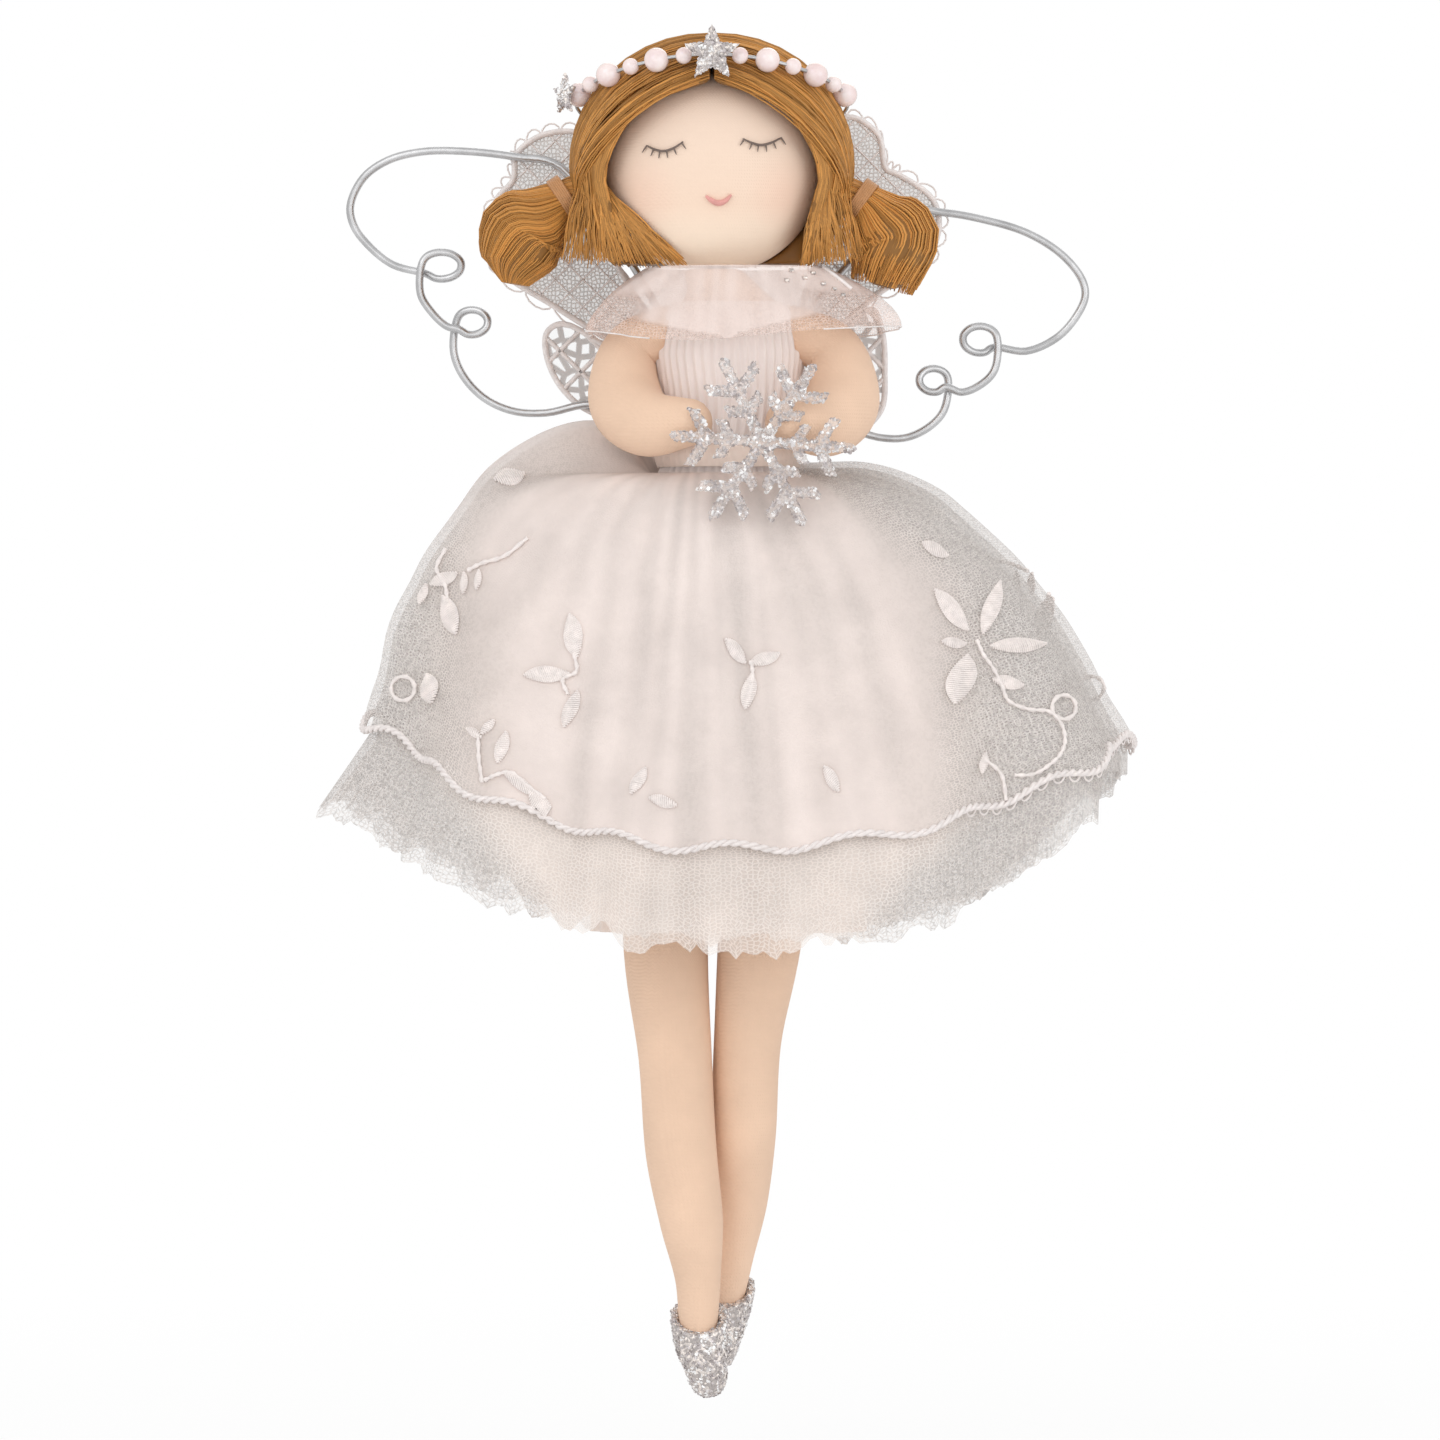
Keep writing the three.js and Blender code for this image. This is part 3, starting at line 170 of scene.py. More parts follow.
# Tulle layers: inset, reach below the lace, seed, flat size and area in metres
TULLES = {
    "inner": (2 * LAYER_STEP, 11.0, 5.0, (0.31, 0.075), 0.0145),
    "outer": (LAYER_STEP, 13.5, 2.0, (0.32, 0.078), 0.0155),
}

# Legs: hips from the chin, shares of the fall to the toes, and how far inward each one lies
HIPS = {"left": (-7.0, -49.3), "right": (7.0, -49.3)}
LEG_FALLS = [0, 0.42, 0.58, 0.7, 0.79, 0.86, 0.93, 0.985]
INWARD = {
    "left": [0, -2.5, -1, -0.1, 1.5, 2.4, 2.6, 3.9],
    "right": [0, 2.1, 4.2, 4.8, 5.5, 6.6, 7.8, 8.6],
}
LEG_RADII = {
    "left": [6.4, 6.4, 5.5, 5.335, 4.7, 3.4, 2.72, 1.5],
    "right": [6.4, 6.4, 5.06, 4.908, 4.324, 3.4, 2.72, 1.5],
}
LEG_LENGTH = {"left": 117.6, "right": 114.0}

# Wings, out and up from their roots
WING_ROOTS = {"left": np.array((-2.1, 9.807, -54.1)), "right": np.array((7.1, 9.807, -54.1))}
WING_SWEEP = 0.1
ROOT_GAP = 3.5
CURL_STEP = 1.8
WIRE_RADIUS = 0.6
WIRE_ROUTES = {
    "left": {
        "top": [
            (20.7, 34.9), (27.5, 36.5), (35, 37.4), (41.7, 37.4), (47, 36.1), (50.7, 33.5), (52.7, 29.3),
        ],
        "outer": [(52.2, 26.3), (50, 23.3), (46.2, 20.3)],
        "curl": (38.8, 20.1, 3, 2),
        "between": [(42, 15.9), (40.6, 13.4), (38, 10.9)],
        "lower_curl": (34.2, 11.5, 2.4, 1.9),
        "bottom": [(37, 7.1), (35.6, 3.5), (32.4, 0.1), (28, -1.9), (23, -2.2), (16, -0.9)],
    },
    "right": {
        "top": [
            (21.8, 28.1), (27.9, 28.1), (33.9, 27.1), (40.6, 25.1), (45.9, 21.8), (48.9, 18.1), (49.4, 15.5),
        ],
        "outer": [(47.8, 12.1), (44.9, 9.1), (40.4, 7.2)],
        "curl": (33.4, 8.9, 2.6, 2),
        "between": [(35.6, 4.3), (33.6, 2.1), (30.6, 0.9)],
        "lower_curl": (26.4, 2.7, 2.2, 1.8),
        "bottom": [(28, -1.7), (26, -4.1), (22.4, -5.9), (18, -5.9), (10, -3.5)],
    },
}
LACE_OUTLINES = {
    "left_upper": [
        (2.2, 4.1), (10.4, 16.9), (13.6, 23.6), (14.2, 36.6), (18, 40.1), (23.7, 39.8), (27.5, 36.9),
        (28, 33.1), (30.5, 30.1), (31.7, 24.1), (29.4, 19.1), (22, 14.1), (12, 8.1),
    ],
    "left_lower": [
        (2.2, 2.1), (11.6, 6.3), (20.4, 11.3), (22.8, 10.1), (23, 6.8),
        (20.8, 1.8), (16.2, -2.1), (9, -3.3), (2.2, -1.3),
    ],
    "right_upper": [
        (2.2, 4.1), (7, 14.9), (9.2, 23.1), (9.6, 37.5), (13.4, 42.5), (18, 39.9), (19.2, 34.7),
        (21, 33.9), (26.3, 30.1), (27.2, 25.6), (24.8, 20.4), (18, 15.8), (9, 8.1),
    ],
    "right_lower": [
        (2.2, 2.1), (8.6, 6.3), (17, 13.5), (18.6, 10.1), (19, 4.1),
        (18.4, -1.9), (14, -5.5), (7, -5.3), (2.2, -1.3),
    ],
}

# Lace of the wings: net, pitch of its cords and their radius, and its room from the hair
WING_LACE = {"upper": ("wing_net", 4.2, 0.15), "lower": ("open_lace", 6.4, 0.4)}
WING_LACE_DEPTH = 1.15
WING_LACE_RIM = 0.5
WING_PICOT = 1.5
HAIR_ROOM = 0.9

# The felt patch laps over the ends of the wing wires
PATCH_LAP = 1.1
PATCH_STITCH_PITCH = 1.4

# Stage: the floor and the sensor in millimetres, the camera's distance in metres
FLOOR_HALF = 3000.0
FLOOR_HEIGHT = -215.0
CAMERA_DISTANCE = 1.5
SENSOR_WIDTH = 36.0

# Face, folds, sequins and embroidery, in pixels of the photograph. A leaf has its centre, its length in
# millimetres, its angle and its plumpness, and a ring its centre and its radius in millimetres.
FACE_MIDDLE = (712.0, 169.0)
LIDS = {
    "left": [(648, 150), (656, 154), (665, 156), (675, 153), (684, 147)],
    "right": [(742, 144), (751, 148), (760, 150), (771, 147), (780, 142)],
}
MOUTH = [(706, 200), (711, 204), (718, 207), (725, 205), (731, 199)]
COLLAR_FOLD = [(806, 266), (818, 268), (834, 279), (850, 292)]
SEQUINS = [
    (778, 268), (790, 274), (796, 266), (804, 281), (812, 276),
    (822, 287), (786, 284), (833, 292), (842, 298),
]
LEAVES = [
    (949, 611, 8.0, 130, 0.17), (989, 609, 8.3, 72, 0.15), (1015, 646, 8.4, 3, 0.13),
    (958, 680, 7.6, 255, 0.28), (951, 644, 3.8, 175, 0.2), (1005, 683, 4.8, -10, 0.2),
    (933, 551, 4.5, -27, 0.2), (980, 763, 3.2, 80, 0.2), (510, 478, 4.6, 12, 0.3),
    (452, 616, 6.2, -70, 0.22), (466, 584, 3.2, 88, 0.17), (480, 581, 3.0, 84, 0.17),
    (425, 595, 3.2, 70, 0.2), (446, 580, 4.4, 25, 0.22), (432, 689, 4.5, 100, 0.32),
    (549, 675, 6.8, 182, 0.18), (575, 637, 6.6, 100, 0.22), (573, 709, 5.8, 250, 0.18),
    (478, 733, 2.6, 150, 0.22), (491, 727, 2.8, 50, 0.22), (505, 747, 4.8, 75, 0.2),
    (523, 783, 6.0, -35, 0.14), (544, 806, 5.8, -50, 0.24), (735, 652, 4.8, 130, 0.2),
    (764, 660, 4.8, 20, 0.2), (748, 692, 5.4, 260, 0.2), (640, 780, 4.4, 60, 0.2),
    (664, 800, 4.2, -15, 0.2), (830, 778, 4.4, 120, 0.2),
]
VINES = [
    [
        (974, 641), (980, 655), (990, 669), (999, 687), (1005, 701), (1027, 710), (1045, 712),
        (1057, 724), (1061, 740), (1057, 753), (1045, 765), (1029, 774), (1011, 775),
    ],
    [(979, 758), (997, 774), (1002, 800)],
    [(470, 572), (484, 565), (507, 558), (530, 540)],
    [(448, 550), (439, 570), (447, 584), (450, 600)],
    [(486, 782), (483, 760), (482, 735)],
    [(488, 780), (500, 774), (514, 772), (530, 785), (548, 798)],
    [(576, 655), (578, 673), (565, 680), (570, 695)],
    [(750, 662), (752, 676), (748, 700)],
]
RINGS = [(406, 689, 1.8), (1060, 708, 1.8)]

# Stitches with a longer step have left the cloth and are dropped
LONGEST_STITCH = 2.2


def srgb(code):
    """A linear colour from a six-digit sRGB code."""
    parts = [int(code[i : i + 2], 16) / 255 for i in (0, 2, 4)]
    return [p / 12.92 if p <= 0.04045 else ((p + 0.055) / 1.055) ** 2.4 for p in parts]


def length_prop(name, description, millimetres):
    return FloatProperty(
        name=name, description=description, default=millimetres * MM, min=0.0, unit="LENGTH", precision=5
    )


def colour_prop(name, code):
    return FloatVectorProperty(
        name=name, description=f"Main colour of the {name.lower()}", subtype="COLOR", size=3,
        min=0.0, max=1.0, default=srgb(code),
    )


class AngelSizes(bpy.types.PropertyGroup):
    strand: length_prop("Hair strand", "Radius of a hair strand", 0.12)
    stitch: length_prop("Stitch", "Radius of an embroidery thread", 0.17)
    hem_cord: length_prop("Hem cord", "Radius of a ply of the hem's cord", 0.34)
    tulle_cell: length_prop("Tulle cell", "Width of a mesh of the tulle", 0.48)
    lace_cell: length_prop("Lace cell", "Width of a mesh of the lace's net", 0.45)
    flake: length_prop("Glitter flake", "Radius of a glitter flake", 0.26)
    strands: IntProperty(name="Strands", description="Combed strands on each side", default=680, min=20)
    flakes: IntProperty(name="Flakes", description="Flakes to a square centimetre", default=330, min=0)


class AngelColours(bpy.types.PropertyGroup):
    skin: colour_prop("Skin", "eecdb3")
    face: colour_prop("Face", "f3d9c4")
    lash: colour_prop("Lashes", "77675f")
    lip: colour_prop("Lips", "e6a39b")
    hair: colour_prop("Hair", "bf8745")
    pearl: colour_prop("Pearls", "faeee9")
    glitter: colour_prop("Glitter", "b8b1ae")
    tulle: colour_prop("Tulle", "f4ece6")
    lining: colour_prop("Inner tulle", "fdf0e7")
    lace: colour_prop("Lace", "f8ebe5")
    # Grey painted shade that the skirt's lace takes at its sides, where the layers behind lie in shade
    net_side_shade: colour_prop("Net side shade", "e8e2de")
    satin: colour_prop("Satin", "fdebdf")
    wire: colour_prop("Wire", "cfcfd0")
    felt: colour_prop("Felt", "eee6e1")


def sizes():
    return bpy.context.scene.angel_sizes


def colours():
    return bpy.context.scene.angel_colours


# Shapes


def lerp(a, b, share):
    return a + (b - a) * share


def smoothstep(value, low, high):
    share = min(max((value - low) / (high - low), 0.0), 1.0)
    return share * share * (3 - 2 * share)


def unit(vector):
    return vector / np.linalg.norm(vector)


def turns(count):
    """Angles that go once round."""
    return [2 * math.pi * c / count for c in range(count)]


def shares(count):
    """Even shares from 0 to 1."""
    return [k / (count - 1) for k in range(count)]


def arch(first, last, rise, count):
    """A half-round loop of points from one place to another."""
    angles = np.linspace(0, math.pi, count)
    return [lerp(first, last, (1 - math.cos(a)) / 2) + math.sin(a) * rise for a in angles]


def from_photo(x, y):
    """The frame's X and Z of a pixel of the photograph."""
    return (x - PIXEL_X) * PIXEL, (PIXEL_Y - y) * PIXEL


def smooth_path(points, steps, closed=False):
    """A centripetal curve through the points, with that many steps between two of them."""
    points = [np.asarray(p, float) for p in points]
    if closed:
        run = [points[-1], *points, points[0], points[1]]
    else:
        run = [2 * points[0] - points[1], *points, 2 * points[-1] - points[-2]]
    made = []
    for p0, p1, p2, p3 in zip(run, run[1:], run[2:], run[3:]):
        gaps = [max(np.linalg.norm(b - a), 1e-6) ** 0.5 for a, b in ((p0, p1), (p1, p2), (p2, p3))]
        t1 = gaps[0]
        t2 = t1 + gaps[1]
        t3 = t2 + gaps[2]
        for k in range(steps):
            t = lerp(t1, t2, k / steps)
            a1 = lerp(p0, p1, t / t1)
            a2 = lerp(p1, p2, (t - t1) / (t2 - t1))
            a3 = lerp(p2, p3, (t - t2) / (t3 - t2))
            b1 = lerp(a1, a2, t / t2)
            b2 = lerp(a2, a3, (t - t1) / (t3 - t1))
            made.append(lerp(b1, b2, (t - t1) / (t2 - t1)))
    if not closed:
        made.append(points[-1])
    return made


def link(name, mesh):
    obj = bpy.data.objects.new(name, mesh)
    bpy.context.scene.collection.objects.link(obj)
    return obj


def flatten(obj):
    """Turns what the modifiers make into a plain mesh."""
    graph = bpy.context.evaluated_depsgraph_get()
    seen = obj.evaluated_get(graph)
    mesh = bpy.data.meshes.new_from_object(seen, preserve_all_data_layers=True, depsgraph=graph)
    old = obj.data
    obj.modifiers.clear()
    obj.data = mesh
    bpy.data.meshes.remove(old)
    mesh.name = obj.name
    return obj


def mesh_piece(name, points, faces, material):
    mesh = bpy.data.meshes.new(name)
    mesh.from_pydata([tuple(p) for p in np.asarray(points) * MM], [], faces)
    mesh.materials.append(stuff(material))
    mesh.shade_smooth()
    return link(name, mesh)


def cloth_map(obj, corners):
    """Gives each face corner its place on the flat cloth, in metres."""
    layer = obj.data.uv_layers.new(name="cloth")
    layer.data.foreach_set("uv", np.asarray(corners, float).ravel())


def ring_sheet(name, rows, material):
    """An open sleeve of cloth from rings of points, the top one first."""
    rows = np.asarray(rows)
    count, around = rows.shape[:2]
    width = np.linalg.norm(rows - np.roll(rows, 1, axis=1), axis=2).sum(axis=1).mean() * MM / around
    falls = np.linalg.norm(np.diff(rows, axis=0), axis=2).mean(axis=1) * MM
    falls = np.concatenate(([0.0], np.cumsum(falls)))
    faces = []
    corners = []
    for r in range(count - 1):
        for c in range(around):
            after = (c + 1) % around
            faces.append((r * around + c, (r + 1) * around + c, (r + 1) * around + after, r * around + after))
            left, right = c * width, (c + 1) * width
            corners += [(left, falls[r]), (left, falls[r + 1]), (right, falls[r + 1]), (right, falls[r])]
    obj = mesh_piece(name, rows.reshape(-1, 3), faces, material)
    cloth_map(obj, corners)
    return obj


def loft_piece(name, rows, material):
    """A closed solid from rings of points, the top one first, with a point at each end."""
    rows = np.asarray(rows)
    count, around = rows.shape[:2]
    points = [*rows.reshape(-1, 3), rows[0].mean(axis=0), rows[-1].mean(axis=0)]
    top, bottom = count * around, count * around + 1
    faces = []
    for c in range(around):
        after = (c + 1) % around
        faces.append((top, c, after))
        faces.append((bottom, (count - 1) * around + after, (count - 1) * around + c))
        for r in range(count - 1):
            faces.append((r * around + c, (r + 1) * around + c, (r + 1) * around + after, r * around + after))
    return mesh_piece(name, points, faces, material)


def edit_mesh(obj, change):
    """Runs a change on the mesh of an object."""
    shape = bmesh.new()
    shape.from_mesh(obj.data)
    change(shape)
    shape.to_mesh(obj.data)
    shape.free()


def soft_copy(name, node, material, *, voxel, passes):
    """A rounded closed skin over one piece of the frame."""
    obj = link(name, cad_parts[node].data.copy())
    edit_mesh(obj, lambda shape: bmesh.ops.remove_doubles(shape, verts=shape.verts, dist=1e-6))
    remesh = obj.modifiers.new("remesh", "REMESH")
    remesh.mode = "VOXEL"
    remesh.voxel_size = voxel * MM
    smooth = obj.modifiers.new("smooth", "SMOOTH")
    smooth.factor = 0.5
    smooth.iterations = passes
    flatten(obj)
    obj.data.materials.clear()
    obj.data.materials.append(stuff(material))
    obj.data.shade_smooth()
    return obj


# Geometry node trees


def node_in(tree, kind, values=None, **settings):
    """A node with its settings, whose inputs are given values or linked to sockets."""
    made = tree.nodes.new(kind)
    for key, value in settings.items():
        setattr(made, key, value)
    for key, value in (values or {}).items():
        if isinstance(value, bpy.types.NodeSocket):
            tree.links.new(value, made.inputs[key])
        else:
            made.inputs[key].default_value = value
    return made


def geometry_tree(name, inputs):
    tree = bpy.data.node_groups.new(name, "GeometryNodeTree")
    tree.interface.new_socket("Geometry", in_out="INPUT", socket_type="NodeSocketGeometry")
    for label, kind in inputs:
        tree.interface.new_socket(label, in_out="INPUT", socket_type=kind)
    tree.interface.new_socket("Geometry", in_out="OUTPUT", socket_type="NodeSocketGeometry")
    return tree, tree.nodes.new("NodeGroupInput").outputs


def end_tree(tree, geometry, material, smooth=True):
    """Realizes the instances, sets the material and closes the tree."""
    made = node_in(tree, "GeometryNodeRealizeInstances", {"Geometry": geometry})
    if smooth:
        made = node_in(tree, "GeometryNodeSetShadeSmooth", {"Geometry": made.outputs[0]})
    painted = node_in(tree, "GeometryNodeSetMaterial", {"Geometry": made.outputs[0], "Material": material})
    node_in(tree, "NodeGroupOutput", {"Geometry": painted.outputs[0]})
    return tree


def thickness_in(tree):
    named = node_in(tree, "GeometryNodeInputNamedAttribute", {"Name": "thickness"}, data_type="FLOAT")
    return named.outputs[0]


def thread_tree():
    """Sweeps a round section along every chain of edges, as thick as its points say."""
    tree, given = geometry_tree("thread", [("Sides", "NodeSocketInt"), ("Material", "NodeSocketMaterial")])
    line = node_in(tree, "GeometryNodeMeshToCurve", {"Mesh": given["Geometry"]})
    section = node_in(tree, "GeometryNodeCurvePrimitiveCircle", {"Resolution": given["Sides"], "Radius": 1.0})
    swept = node_in(
        tree,
        "GeometryNodeCurveToMesh",
        {
            "Curve": line.outputs[0],
            "Profile Curve": section.outputs[0],
            "Scale": thickness_in(tree),
            "Fill Caps": True,
        },
    )
    return end_tree(tree, swept.outputs[0], given["Material"])


def bead_tree():
    """Puts a ball on every point, as large as the point says."""
    tree, given = geometry_tree("bead", [("Material", "NodeSocketMaterial")])
    ball = node_in(tree, "GeometryNodeMeshUVSphere", {"Segments": 20, "Rings": 12, "Radius": 1.0})
    placed = node_in(
        tree,
        "GeometryNodeInstanceOnPoints",
        {"Points": given["Geometry"], "Instance": ball.outputs[0], "Scale": thickness_in(tree)},
    )
    return end_tree(tree, placed.outputs[0], given["Material"])


def flake_tree():
    """Scatters small six-sided plates over a surface, each tipped its own way."""
    inputs = [
        ("Density", "NodeSocketFloat"),
        ("Radius", "NodeSocketFloat"),
        ("Seed", "NodeSocketInt"),
        ("Material", "NodeSocketMaterial"),
    ]
    tree, given = geometry_tree("flakes", inputs)
    points = node_in(
        tree,
        "GeometryNodeDistributePointsOnFaces",
        {"Mesh": given["Geometry"], "Density": given["Density"], "Seed": given["Seed"]},
    )
    plate = node_in(
        tree,
        "GeometryNodeMeshCylinder",
        {"Vertices": 6, "Radius": given["Radius"], "Depth": 0.06 * MM},
        fill_type="TRIANGLE_FAN",
    )
    tip = node_in(
        tree,
        "FunctionNodeRandomValue",
        {0: (-0.7, -0.7, -3.0), 1: (0.7, 0.7, 3.0), "Seed": given["Seed"]},
        data_type="FLOAT_VECTOR",
    )
    turn = node_in(tree, "FunctionNodeEulerToRotation", {"Euler": tip.outputs[0]})
    tipped = node_in(
        tree,
        "FunctionNodeRotateRotation",
        {"Rotation": points.outputs["Rotation"], "Rotate By": turn.outputs[0]},
        rotation_space="LOCAL",
    )
    grown = node_in(tree, "FunctionNodeRandomValue", {2: 0.55, 3: 1.3, "Seed": 3}, data_type="FLOAT")
    placed = node_in(
        tree,
        "GeometryNodeInstanceOnPoints",
        {
            "Points": points.outputs["Points"],
            "Instance": plate.outputs["Mesh"],
            "Rotation": tipped.outputs[0],
            "Scale": grown.outputs[1],
        },
    )
    return end_tree(tree, placed.outputs[0], given["Material"], smooth=False)


def grow(obj, tree, values):
    """Runs a tree on an object with the named inputs and keeps its result as a plain mesh."""
    modifier = obj.modifiers.new(tree.name, "NODES")
    modifier.node_group = tree
    for item in tree.interface.items_tree:
        if item.in_out == "INPUT" and item.name in values:
            modifier[item.identifier] = values[item.name]
    return flatten(obj)


def shared(make, name):
    return bpy.data.node_groups.get(name) or make()


def chain_object(name, paths, radii, closed=False, tones=None):
    """Chains of edges that carry a thickness and a tone, ready for a tree."""
    points = []
    edges = []
    thickness = []
    tone = []
    for k, (path, radius) in enumerate(zip(paths, radii)):
        first = len(points)
        points += [tuple(np.asarray(p) * MM) for p in path]
        edges += [(first + i, first + i + 1) for i in range(len(path) - 1)]
        if closed:
            edges.append((len(points) - 1, first))
        thickness += [r * MM for r in np.broadcast_to(radius, len(path))]
        tone += [tones[k] if tones else 0.5] * len(path)
    mesh = bpy.data.meshes.new(name)
    mesh.from_pydata(points, edges, [])
    mesh.attributes.new("thickness", "FLOAT", "POINT").data.foreach_set("value", thickness)
    mesh.attributes.new("tone", "FLOAT", "POINT").data.foreach_set("value", tone)
    return link(name, mesh)


def threads(name, paths, radii, material, *, sides, closed=False, tones=None):
    """Threads along the paths; radii are one number, or one or a list of its points' radii for each path."""
    if np.isscalar(radii):
        radii = [radii] * len(paths)
    obj = chain_object(name, paths, radii, closed, tones)
    return grow(obj, shared(thread_tree, "thread"), {"Sides": sides, "Material": stuff(material)})


def flakes(name, base, density, seed):
    """Glitter flakes over another piece."""
    obj = link(name, base.data.copy())
    material = stuff("glitter_flakes")
    values = {"Density": density * 1e4, "Radius": sizes().flake, "Seed": seed, "Material": material}
    return grow(obj, shared(flake_tree, "flakes"), values)


def settle(obj, slot, *nodes, body="doll"):
    """Gives a piece the CAD nodes that it stands for and its body; its slot is not used."""
    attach(obj, body)
    if nodes:
        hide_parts(*nodes)
    return obj


# Shader node groups


def shader_group(name, inputs, outputs):
    tree = bpy.data.node_groups.new(name, "ShaderNodeTree")
    for way, sockets in (("INPUT", inputs), ("OUTPUT", outputs)):
        for label, kind in sockets:
            tree.interface.new_socket(label, in_out=way, socket_type=f"NodeSocket{kind}")
    return tree, tree.nodes.new("NodeGroupInput").outputs


def math_in(tree, operation, a, b=0.0):
    return node_in(tree, "ShaderNodeMath", {0: a, 1: b}, operation=operation).outputs[0]


def mix_in(tree, factor, a, b):
    return node_in(tree, "ShaderNodeMix", {0: factor, 6: a, 7: b}, data_type="RGBA").outputs[2]


def ramp_in(tree, value, low, high, start=0.0, end=1.0):
    """A value carried from one range to another and held at its ends."""
    values = {"Value": value, "From Min": low, "From Max": high, "To Min": start, "To Max": end}
    return node_in(tree, "ShaderNodeMapRange", values).outputs[0]


def mottle_group():
    """Uneven dye: a colour that drifts towards a shade of it, and the same drift as a height."""
    inputs = [("Vector", "Vector"), ("Colour", "Color"), ("Shade", "Color"), ("Scale", "Float")]
    tree, given = shader_group("mottle", inputs, [("Colour", "Color"), ("Height", "Float")])
    values = {"Vector": given["Vector"], "Scale": given["Scale"], "Detail": 5.0, "Roughness": 0.6}
    drift = node_in(tree, "ShaderNodeTexNoise", values).outputs["Fac"]
    colour = mix_in(tree, ramp_in(tree, drift, 0.3, 0.72), given["Colour"], given["Shade"])
    node_in(tree, "NodeGroupOutput", {"Colour": colour, "Height": drift})
    return tree


def knit_group():
    """Rows of fine knitted stitches as a height."""
    tree, given = shader_group("knit", [("Vector", "Vector"), ("Pitch", "Float")], [("Height", "Float")])
    parts = node_in(tree, "ShaderNodeSeparateXYZ", {0: given["Vector"]}).outputs
    rate = math_in(tree, "DIVIDE", 2 * math.pi, given["Pitch"])
    across = math_in(tree, "SINE", math_in(tree, "MULTIPLY", math_in(tree, "ADD", parts[0], parts[1]), rate))
    lean = math_in(tree, "MULTIPLY", across, 1.3)
    along = math_in(tree, "SINE", math_in(tree, "ADD", math_in(tree, "MULTIPLY", parts[2], rate), lean))
    height = math_in(tree, "ADD", along, math_in(tree, "MULTIPLY", across, 0.5))
    node_in(tree, "NodeGroupOutput", {"Height": height})
    return tree


def net_group():
    """The threads of a net as a mask: 1 on a thread and 0 in a mesh."""
    inputs = [("Vector", "Vector"), ("Cell", "Float"), ("Thread", "Float")]
    tree, given = shader_group("net", inputs, [("Mask", "Float")])
    scale = math_in(tree, "DIVIDE", 1.0, given["Cell"])
    cells = node_in(
        tree,
        "ShaderNodeTexVoronoi",
        {"Vector": given["Vector"], "Scale": scale, "Randomness": 0.75},
        feature="DISTANCE_TO_EDGE",
        voronoi_dimensions="2D",
    )
    wide = math_in(tree, "MULTIPLY", given["Thread"], 1.6)
    mask = ramp_in(tree, cells.outputs["Distance"], given["Thread"], wide, 1.0, 0.0)
    node_in(tree, "NodeGroupOutput", {"Mask": mask})
    return tree


def glitter_group():
    """Packed glitter: grains of two colours, some smooth and some dull, each at its own height."""
    inputs = [("Vector", "Vector"), ("Cell", "Float"), ("Colour", "Color"), ("Spark", "Color")]
    outputs = [("Colour", "Color"), ("Roughness", "Float"), ("Height", "Float")]
    tree, given = shader_group("glitter", inputs, outputs)
    scale = math_in(tree, "DIVIDE", 1.0, given["Cell"])
    grains = node_in(tree, "ShaderNodeTexVoronoi", {"Vector": given["Vector"], "Scale": scale}).outputs
    chance = node_in(tree, "ShaderNodeSeparateColor", {0: grains["Color"]}).outputs
    tilt = math_in(tree, "SUBTRACT", math_in(tree, "MULTIPLY", chance[2], 1.4), grains["Distance"])
    colour = mix_in(tree, ramp_in(tree, chance[0], 0.45, 0.85), given["Colour"], given["Spark"])
    rough = ramp_in(tree, chance[1], 0.0, 1.0, 0.18, 0.55)
    node_in(tree, "NodeGroupOutput", {"Colour": colour, "Roughness": rough, "Height": tilt})
    return tree


# Materials


def rgba(colour, factor=1.0):
    return (*[min(c * factor, 1.0) for c in colour], 1.0)


def new_material(name, constants):
    """A material whose shader has these constant values, with its tree, shader and object coordinates."""
    material = bpy.data.materials.new(name)
    material.use_nodes = True
    tree = material.node_tree
    shader = tree.nodes["Principled BSDF"]
    for key, value in constants.items():
        shader.inputs[key].default_value = value
    place = tree.nodes.new("ShaderNodeTexCoord").outputs["Object"]
    return material, tree, shader, place


def group_in(tree, make, name, values):
    return node_in(tree, "ShaderNodeGroup", values, node_tree=shared(make, name)).outputs


def dye_in(tree, place, colour, shade, scale):
    values = {"Vector": place, "Colour": colour, "Shade": shade, "Scale": scale}
    return group_in(tree, mottle_group, "mottle", values)


def knit_in(tree, place, pitch):
    """The height of a knit with a pitch in millimetres."""
    return group_in(tree, knit_group, "knit", {"Vector": place, "Pitch": pitch * MM})["Height"]


def shade_in(tree, shader, sockets, height, strength, distance):
    """Links sockets to inputs of the shader and bumps it by a height."""
    for key, socket in sockets.items():
        tree.links.new(socket, shader.inputs[key])
    values = {"Height": height, "Strength": strength, "Distance": distance * MM}
    bump = node_in(tree, "ShaderNodeBump", values)
    tree.links.new(bump.outputs[0], shader.inputs["Normal"])


def dyed_material(name, colour, shade, scale, bump, constants, pitch=None):
    """Unevenly dyed stuff, bumpy like its dye or like a knit with a pitch."""
    material, tree, shader, place = new_material(name, constants)
    dye = dye_in(tree, place, rgba(colour), shade, scale)
    height = knit_in(tree, place, pitch) if pitch else dye["Height"]
    shade_in(tree, shader, {"Base Color": dye["Colour"]}, height, *bump)
    return material


def skin_material(name):
    skin = colours().skin
    return dyed_material(name, skin, rgba(skin, 0.9), 90.0, (0.25, 0.05), SKIN_SHADER, 0.55)


